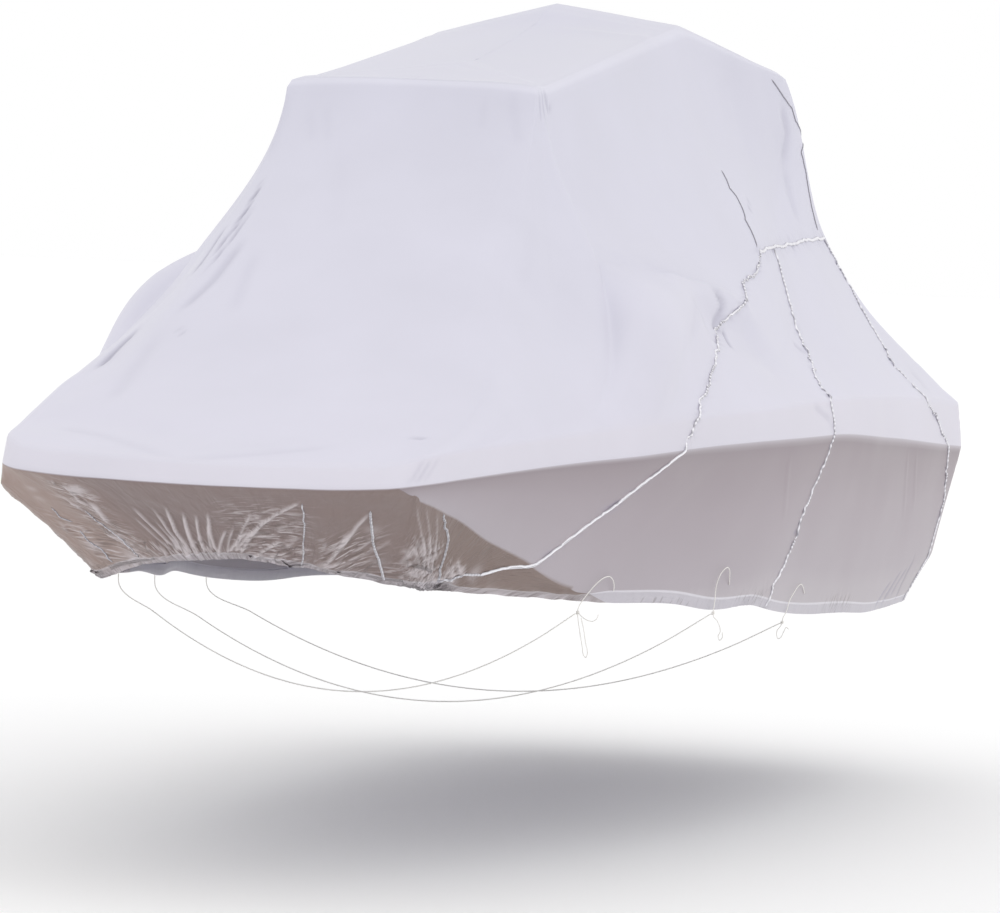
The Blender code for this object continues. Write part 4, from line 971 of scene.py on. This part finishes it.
def filmSheet(name, s, rows, cells, kept, rowsKept, pairs=None):
    # A closed sheet of film: a fine outer face, a coarser inner face behind its troughs, and rims that join
    # them. Pairs says of each column of cells whether it is the first or second of two joined above the rail.
    base = roundRows(smoothForm(s, rows), rows, {k: w for k, w in bends.items() if rows[0] < k < rows[-1]})
    normals = gridNormals(base)
    height, values = filmHeights(base, s, rows)
    outer = base + normals * height[:, :, None]
    film = {"s": s, "rows": rows, "points": outer, "normals": gridNormals(outer)}
    inner = base + normals * (lowest(height, formFacts["clearCells"]) - formFacts["wall"])[:, :, None]
    outer, values = withHem(outer, normals, values)
    gap = inwards(normals) * formFacts["wall"] * 1.2
    behind = np.stack([outer[:, 0] - gap, outer[:, 1] - gap, outer[:, 2] - gap * 0.3 + (0, 0, 0.004)], axis=1)
    inner = np.concatenate([behind, inner], axis=1)
    n, m = outer.shape[:2]
    number = np.arange(n * m).reshape(n, m)
    pairs = np.zeros(n - 1, int) if pairs is None else np.array(pairs)
    joint = 3 + int(np.argmin(np.abs(rows - rail)))       # from this row up, paired columns are one cell
    single = cells.copy()
    single[pairs > 0, joint:] = False
    double = np.zeros_like(cells)
    double[pairs == 1, joint:] = cells[pairs == 1, joint:]
    quads = np.stack([number[:-1, :-1], number[1:, :-1], number[1:, 1:], number[:-1, 1:]], axis=-1)
    faces = quads[single].tolist()
    for i, k in np.argwhere(double):
        between = [number[i + 1, k]] if k <= joint else []
        faces.append([int(c) for c in (number[i, k], *between, number[i + 2, k], number[i + 2, k + 1],
                                       number[i, k + 1])])
    ci, ri = np.array(kept), np.array(rowsKept)
    inside = n * m + np.arange(len(ci) * len(ri)).reshape(len(ci), len(ri))
    cellsIn = cells[np.ix_(ci[:-1], ri[:-1])]
    quads = np.stack([inside[:-1, :-1], inside[:-1, 1:], inside[1:, 1:], inside[1:, :-1]], axis=-1)
    faces += quads[cellsIn].tolist()
    faces += rimFaces(number, inside, ci, ri, cellsIn, np.append(True, pairs != 1), joint)
    verts = np.concatenate([outer.reshape(-1, 3), inner[np.ix_(ci, ri)].reshape(-1, 3)])
    used = np.zeros(len(verts), bool)
    used[np.concatenate([np.array(face) for face in faces])] = True
    renumber = np.cumsum(used) - 1
    made = addMesh(name, carried(verts[used]), [renumber[face].tolist() for face in faces], shrinkFilm,
                   **{label: np.concatenate([field.ravel(), field[np.ix_(ci, ri)].ravel()])[used]
                      for label, field in values.items()})
    made.data.set_sharp_from_angle(angle=math.radians(formFacts["sharpFrom"]))
    return made, film


def rimFaces(number, inside, ci, ri, cellsIn, ends, joint):
    # Joins the two walls wherever a cell of the inner grid has no neighbour.
    faces = []
    solid = np.pad(cellsIn, 1)

    def row(left, right, k):
        # The outer corners along a row, without the ones between two joined columns.
        return [number[c, k] for c in range(left, right + 1) if ends[c] or k <= joint]

    for a, b in np.argwhere(cellsIn):
        left, right, lower, upper = ci[a], ci[a + 1], ri[b], ri[b + 1]
        if not solid[a, b + 1]:
            faces.append(list(number[left, lower:upper + 1]) + [inside[a, b + 1], inside[a, b]])
        if not solid[a + 2, b + 1]:
            faces.append(list(number[right, lower:upper + 1])[::-1]
                         + [inside[a + 1, b], inside[a + 1, b + 1]])
        if not solid[a + 1, b]:
            faces.append(row(left, right, lower)[::-1] + [inside[a, b], inside[a + 1, b]])
        if not solid[a + 1, b + 2]:
            faces.append(row(left, right, upper) + [inside[a + 1, b + 1], inside[a, b + 1]])
    return [[int(x) for x in face] for face in faces]


def spread(*blocks):
    # Positions through blocks of (start, end, spacing, step, paired), the ones that the inner wall keeps, and
    # for each cell whether it is the first or second of a pair.
    positions, kept, pairs = [], [], []
    for start, end, spacing, step, *paired in blocks:
        count = step * max(1, math.ceil((end - start) / (step * spacing)))
        kept += list(range(len(positions), len(positions) + count, step))
        positions += list(np.linspace(start, end, count, endpoint=False))
        pairs += [1, 2] * (count // 2) if paired else [0] * count
    return np.array(positions + [blocks[-1][1]]), kept + [len(positions)], pairs


def spreadRows(cellsByRing, step):
    # Rows between the rings; the folded hem adds three rows below the first one.
    rows, kept, _ = spread(*[(k, k + 1, 1 / count, step) for k, count in enumerate(cellsByRing)])
    return rows, [0, 1, 2] + [k + 3 for k in kept]


def mainCells(s, rows):
    # The main film is cut away where the two quarter panels are let in.
    cells = np.ones((len(s) - 1, len(rows) + 2), bool)
    middle = 0.5 * (s[:-1] + s[1:])
    top = np.concatenate([[-0.1] * 3, rows])
    cells[np.ix_((middle > seamAt["fore"]) & (middle < seamAt["aft"]), top[1:] <= high + 1e-6)] = False
    return cells


def buildFilm():
    fore, mid, aft = seamAt["fore"], seamAt["mid"], seamAt["aft"]
    s, kept, pairs = spread((-halfRound, -5.0, 0.090, 1), (-5.0, -2.2, 0.070, 1), (-2.2, -1.0, 0.034, 2),
                            (-1.0, 2.1, 0.0076, 4, True), (2.1, 2.35, 0.016, 4), (2.35, fore, 0.0080, 4),
                            (fore, aft, 0.028, 3), (aft, 6.6, 0.012, 3), (6.6, halfRound, 0.055, 1))
    rows, rowsKept = spreadRows((24, 21, 9, 27, 30, 30, 12), 3)
    films, made = {}, {}
    made["main"], films["main"] = filmSheet("filmMain", s, rows, mainCells(s, rows), kept, rowsKept, pairs)
    rows, rowsKept = spreadRows((24, 60, 20, 80, 88), 4)
    for name, start, end, beside, between in (("fore", fore, mid, 0.006, 0.0088),
                                              ("aft", mid, aft, 0.007, 0.0118)):
        s, kept, _ = spread((start, start + 0.12, beside, 4), (start + 0.12, end - 0.12, between, 4),
                            (end - 0.12, end, beside, 4))
        made[name], films[name] = filmSheet("filmQuarter" + name.title(), s, rows,
                                            np.ones((len(s) - 1, len(rows) + 2), bool), kept, rowsKept)
    for name, node, flat, area in (("main", "film_main", (7.2, 8.6), 27.2),
                                   ("fore", "film_quarter_fore", (1.35, 3.4), 2.03),
                                   ("aft", "film_quarter_aft", (1.65, 2.6), 3.03)):
        settle(made[name], node)
        print(f"{made[name].name}: {sum(len(p.vertices) - 2 for p in made[name].data.polygons)} triangles")
    return films


films = buildFilm()

# Welds: beads of melted film laid along the finished surface
weldFacts = {
    "step": 0.0032, "sides": 16, "buried": 0.0030, "lift": 0.0008,
    "endRun": 0.012, "endSize": 0.15,            # a bead narrows to this share over its last 12 mm
    "strayOver": 0.090,                          # the length of its longest sway
    "jitterOver": 0.06, "depthOver": 0.08,       # over what length the pitch and depth of its beads change
    "grooveAt": 1.1, "grooveWide": 0.30,         # the groove's place beside the crest, in radians
    "footWide": 0.40, "footShade": 0.6,           # painted shade makes the foot of a bead greyer
}
weldRuns = (
    # piece, node, film, width, height and pitch in mm, beads, beads below the rail, groove, white, stray
    # in mm, and marks by distance along the rail and ring number
    ("weldFore",     "weld_fore",      "fore", 13.0, 6.5, 21.0, 0.80, 0.06, 0.70, 1.0, 12.0,
     ((seamAt["fore"], 0.45), (seamAt["fore"], 5.0))),
    ("weldMid",      "weld_mid",       "fore", 13.0, 6.5, 24.0, 0.80, 0.70, 0.70, 1.0, 13.0,
     ((seamAt["mid"], 0.02), (seamAt["mid"], 5.0))),
    ("weldAft",      "weld_aft",       "aft",  13.0, 6.5, 22.0, 0.80, 0.70, 0.70, 1.0, 13.0,
     ((seamAt["aft"], 0.02), (seamAt["aft"], 5.0))),
    ("weldCross",    "weld_cross",     "main", 15.0, 4.0, 60.0, 0.16, 0.16, 0.00, 0.84, 5.0,
     ((seamAt["fore"], 5.0), (4.5, 5.0), (seamAt["aft"], 5.0))),
    ("weldDartFore", "weld_dart_fore", "main",  5.5, 3.0, 22.0, 0.40, 0.40, 0.00, 0.2, 4.0,
     ((3.077, 5.45), (3.007, 5.40), (2.792, 5.37), (2.962, 5.32), (2.662, 5.20), (2.657, 5.02))),
    ("weldDartAft",  "weld_dart_aft",  "main",  5.5, 3.0, 22.0, 0.40, 0.40, 0.00, 0.2, 4.0,
     ((5.584, 5.92), (5.904, 5.85), (6.189, 5.78), (6.224, 5.70), (6.644, 5.62), (6.229, 5.52),
      (6.254, 5.40), (6.159, 5.22), (6.069, 5.05))),
    ("slitCheek",    None,             "main",  6.5, 4.0, 19.0, 0.70, 0.70, 0.60, 0.75, 6.0,
     ((0.385, 1.64), (0.40, 0.85), (0.405, 0.27), (0.40, 0.06))),
    ("slitQuarter",  None,             "main", 10.0, 4.5, 21.0, 0.50, 0.50, 0.95, 0.75, 6.0,
     ((0.63, 1.40), (0.68, 0.55), (0.72, 0.05))),
    ("slitGather",   None,             "main", 10.0, 4.5, 18.0, 0.60, 0.60, 0.95, 0.75, 9.0,
     ((1.146, 0.917), (1.30, 0.72), (1.351, 0.60), (1.446, 0.317), (1.536, 0.15))),
    ("gatherBand",   None,             "main", 10.0, 4.0, 17.0, 0.60, 0.60, 0.50, 0.8, 7.0,
     ((2.62, 0.47), (2.40, 0.40), (2.10, 0.30), (1.75, 0.20), (1.54, 0.15))),
    ("slitFar",      None,             "main",  7.0, 4.0, 19.0, 0.70, 0.70, 0.80, 0.65, 13.0,
     ((-0.60, 1.02), (-0.60, 0.63), (-0.625, 0.13))),
    ("slitFarFore",  None,             "main",  7.0, 3.5, 17.0, 0.60, 0.60, 0.90, 0.55, 9.0,
     ((-0.71, 0.833), (-0.716, 0.70), (-0.70, 0.660))),
    ("slitFarLow",   None,             "main",  7.0, 3.5, 17.0, 0.60, 0.60, 0.90, 0.55, 9.0,
     ((-0.705, 0.533), (-0.725, 0.40), (-0.72, 0.267), (-0.735, 0.10))),
)


def onFilm(film, s, v):
    # Points and normals of the finished surface at fractions of its columns and rows.
    a = np.interp(s, film["s"], np.arange(len(film["s"])))
    b = np.interp(v, film["rows"], np.arange(len(film["rows"])))
    i, k = np.minimum(a.astype(int), len(film["s"]) - 2), np.minimum(b.astype(int), len(film["rows"]) - 2)
    p, q = (a - i)[:, None], (b - k)[:, None]
    points, normals = (field[i, k] * (1 - p) * (1 - q) + field[i + 1, k] * p * (1 - q)
                       + field[i, k + 1] * (1 - p) * q + field[i + 1, k + 1] * p * q
                       for field in (film["points"], film["normals"]))
    return points, unit(normals)


def undrawn(s, v):
    # The column that the seams' wander draws to distance s at ring number v.
    column = s
    for _ in range(3):
        column = s - (drawnAside(np.array([column]), v)[0] - column)
    return column


def weldBead(name, film, width, height, pitch, beads, lowBeads, groove, white, stray, marks, seed):
    # A flat bead: half an ellipse over the film, pinched at each pitch and grooved along its crest.
    onSeam = marks[0][0] in seamAt.values()
    marks = np.array([(s if onSeam else undrawn(s, v), v) for s, v in marks])
    share = np.linspace(0, len(marks) - 1, 240 * (len(marks) - 1))
    column, ring = (np.interp(share, np.arange(len(marks)), marks[:, k]) for k in (0, 1))
    length = lengthsOf(onFilm(film, column, ring)[0])
    even = np.linspace(0, length[-1], round(length[-1] / weldFacts["step"]))
    column, ring = np.interp(even, length, column), np.interp(even, length, ring)

    def drift(size, lot):
        return softNoise(np.stack([even, 0 * even, 0 * even], axis=-1), size, seeds[lot] + seed)

    upper = np.clip((ring - rail) / 0.2, 0, 1)
    sway = drift(weldFacts["strayOver"], "sway") + 0.6 * drift(weldFacts["strayOver"] / 3, "smallSway")
    sway *= stray / 1000 * np.where(upper > 0, 1.0, lowBeads)
    path, normal = onFilm(film, column, ring)
    across = unit(np.cross(unit(np.gradient(path, axis=0)), normal))
    path = path + across * sway[:, None] + normal * weldFacts["lift"]
    jitter = 1.3 * drift(weldFacts["jitterOver"], "jitter")
    wave = 0.5 + 0.5 * np.cos(2 * math.pi * (even * 1000 / pitch + jitter))
    uneven = np.clip(0.7 + 0.5 * drift(weldFacts["depthOver"], "depth"), 0.1, 1)
    depth = (beads * upper + lowBeads * (1 - upper)) * uneven
    swell = 1 - depth * (1 - wave)
    ends = np.clip(np.minimum(even, even[-1] - even) / weldFacts["endRun"], weldFacts["endSize"], 1)
    angle = np.linspace(0, 2 * math.pi, weldFacts["sides"], endpoint=False)
    half = (width / 2000 * (0.55 + 0.45 * swell) * ends)[:, None]
    tall = (height / 1000 * (0.35 + 0.65 * swell) * ends)[:, None]
    tall = np.where(np.sin(angle)[None, :] < 0, weldFacts["buried"], tall)
    reach = half * tall / np.sqrt((tall * np.cos(angle)) ** 2 + (half * np.sin(angle)) ** 2)
    crest = bell(angle - weldFacts["grooveAt"], weldFacts["grooveWide"])[None, :]
    foot = bell(np.sin(angle), weldFacts["footWide"])[None, :]
    # painted shade in the pinches, the groove and the foot of the bead, and a painted highlight on its lumps,
    # all scaled by white
    bead = white * swell[:, None] * (1 - groove * crest) * (1 - weldFacts["footShade"] * foot)
    verts, faces = sweptSkin(path, across, normal, reach * (1 - groove * 0.6 * crest))
    return addMesh(name, carried(verts), faces, weldedFilm, bead=bead)


def buildWelds():
    for seed, (name, node, film, *facts, marks) in enumerate(weldRuns):
        settle(weldBead(name, films[film], *facts, marks, seed), node)
    print(len(weldRuns), "welds laid")


buildWelds()

# Floor and light
stage = {
    "floor": "#fcfcfc", "floorReach": 120.0, "floorGloss": 0.9,
    "sky": "#ffffff", "skyStrength": 1.0,
    "key": 0.25, "keyFrom": (0.50, -0.45, 1.0), "keyAngle": 70.0,       # a broad soft light, degrees across
}


def addStage():
    reach, z = stage["floorReach"], -place["peakHeight"]
    made, add = startMaterial("paleFloor")
    paint = add("BsdfPrincipled", {"Base Color": stage["floor"]}, Roughness=stage["floorGloss"])
    add("OutputMaterial", (paint,))
    corners = [(-reach, -reach, z), (reach, -reach, z), (reach, reach, z), (-reach, reach, z)]
    addMesh("floor", corners, [(0, 1, 2, 3)], made)
    world = bpy.data.worlds.new("studio")
    bpy.context.scene.world = world
    world.use_nodes = True
    backing = world.node_tree.nodes["Background"]
    backing.inputs["Color"].default_value = linear(stage["sky"])
    backing.inputs["Strength"].default_value = stage["skyStrength"]
    lamp = bpy.data.lights.new("softLight", "SUN")
    lamp.energy, lamp.angle = stage["key"], math.radians(stage["keyAngle"])
    key = bpy.data.objects.new("softLight", lamp)
    key.rotation_euler = (-Vector(stage["keyFrom"])).to_track_quat("-Z", "Y").to_euler()
    bpy.context.scene.collection.objects.link(key)
    bpy.context.scene.view_settings.view_transform = "Standard"      # whites stay white


addStage()
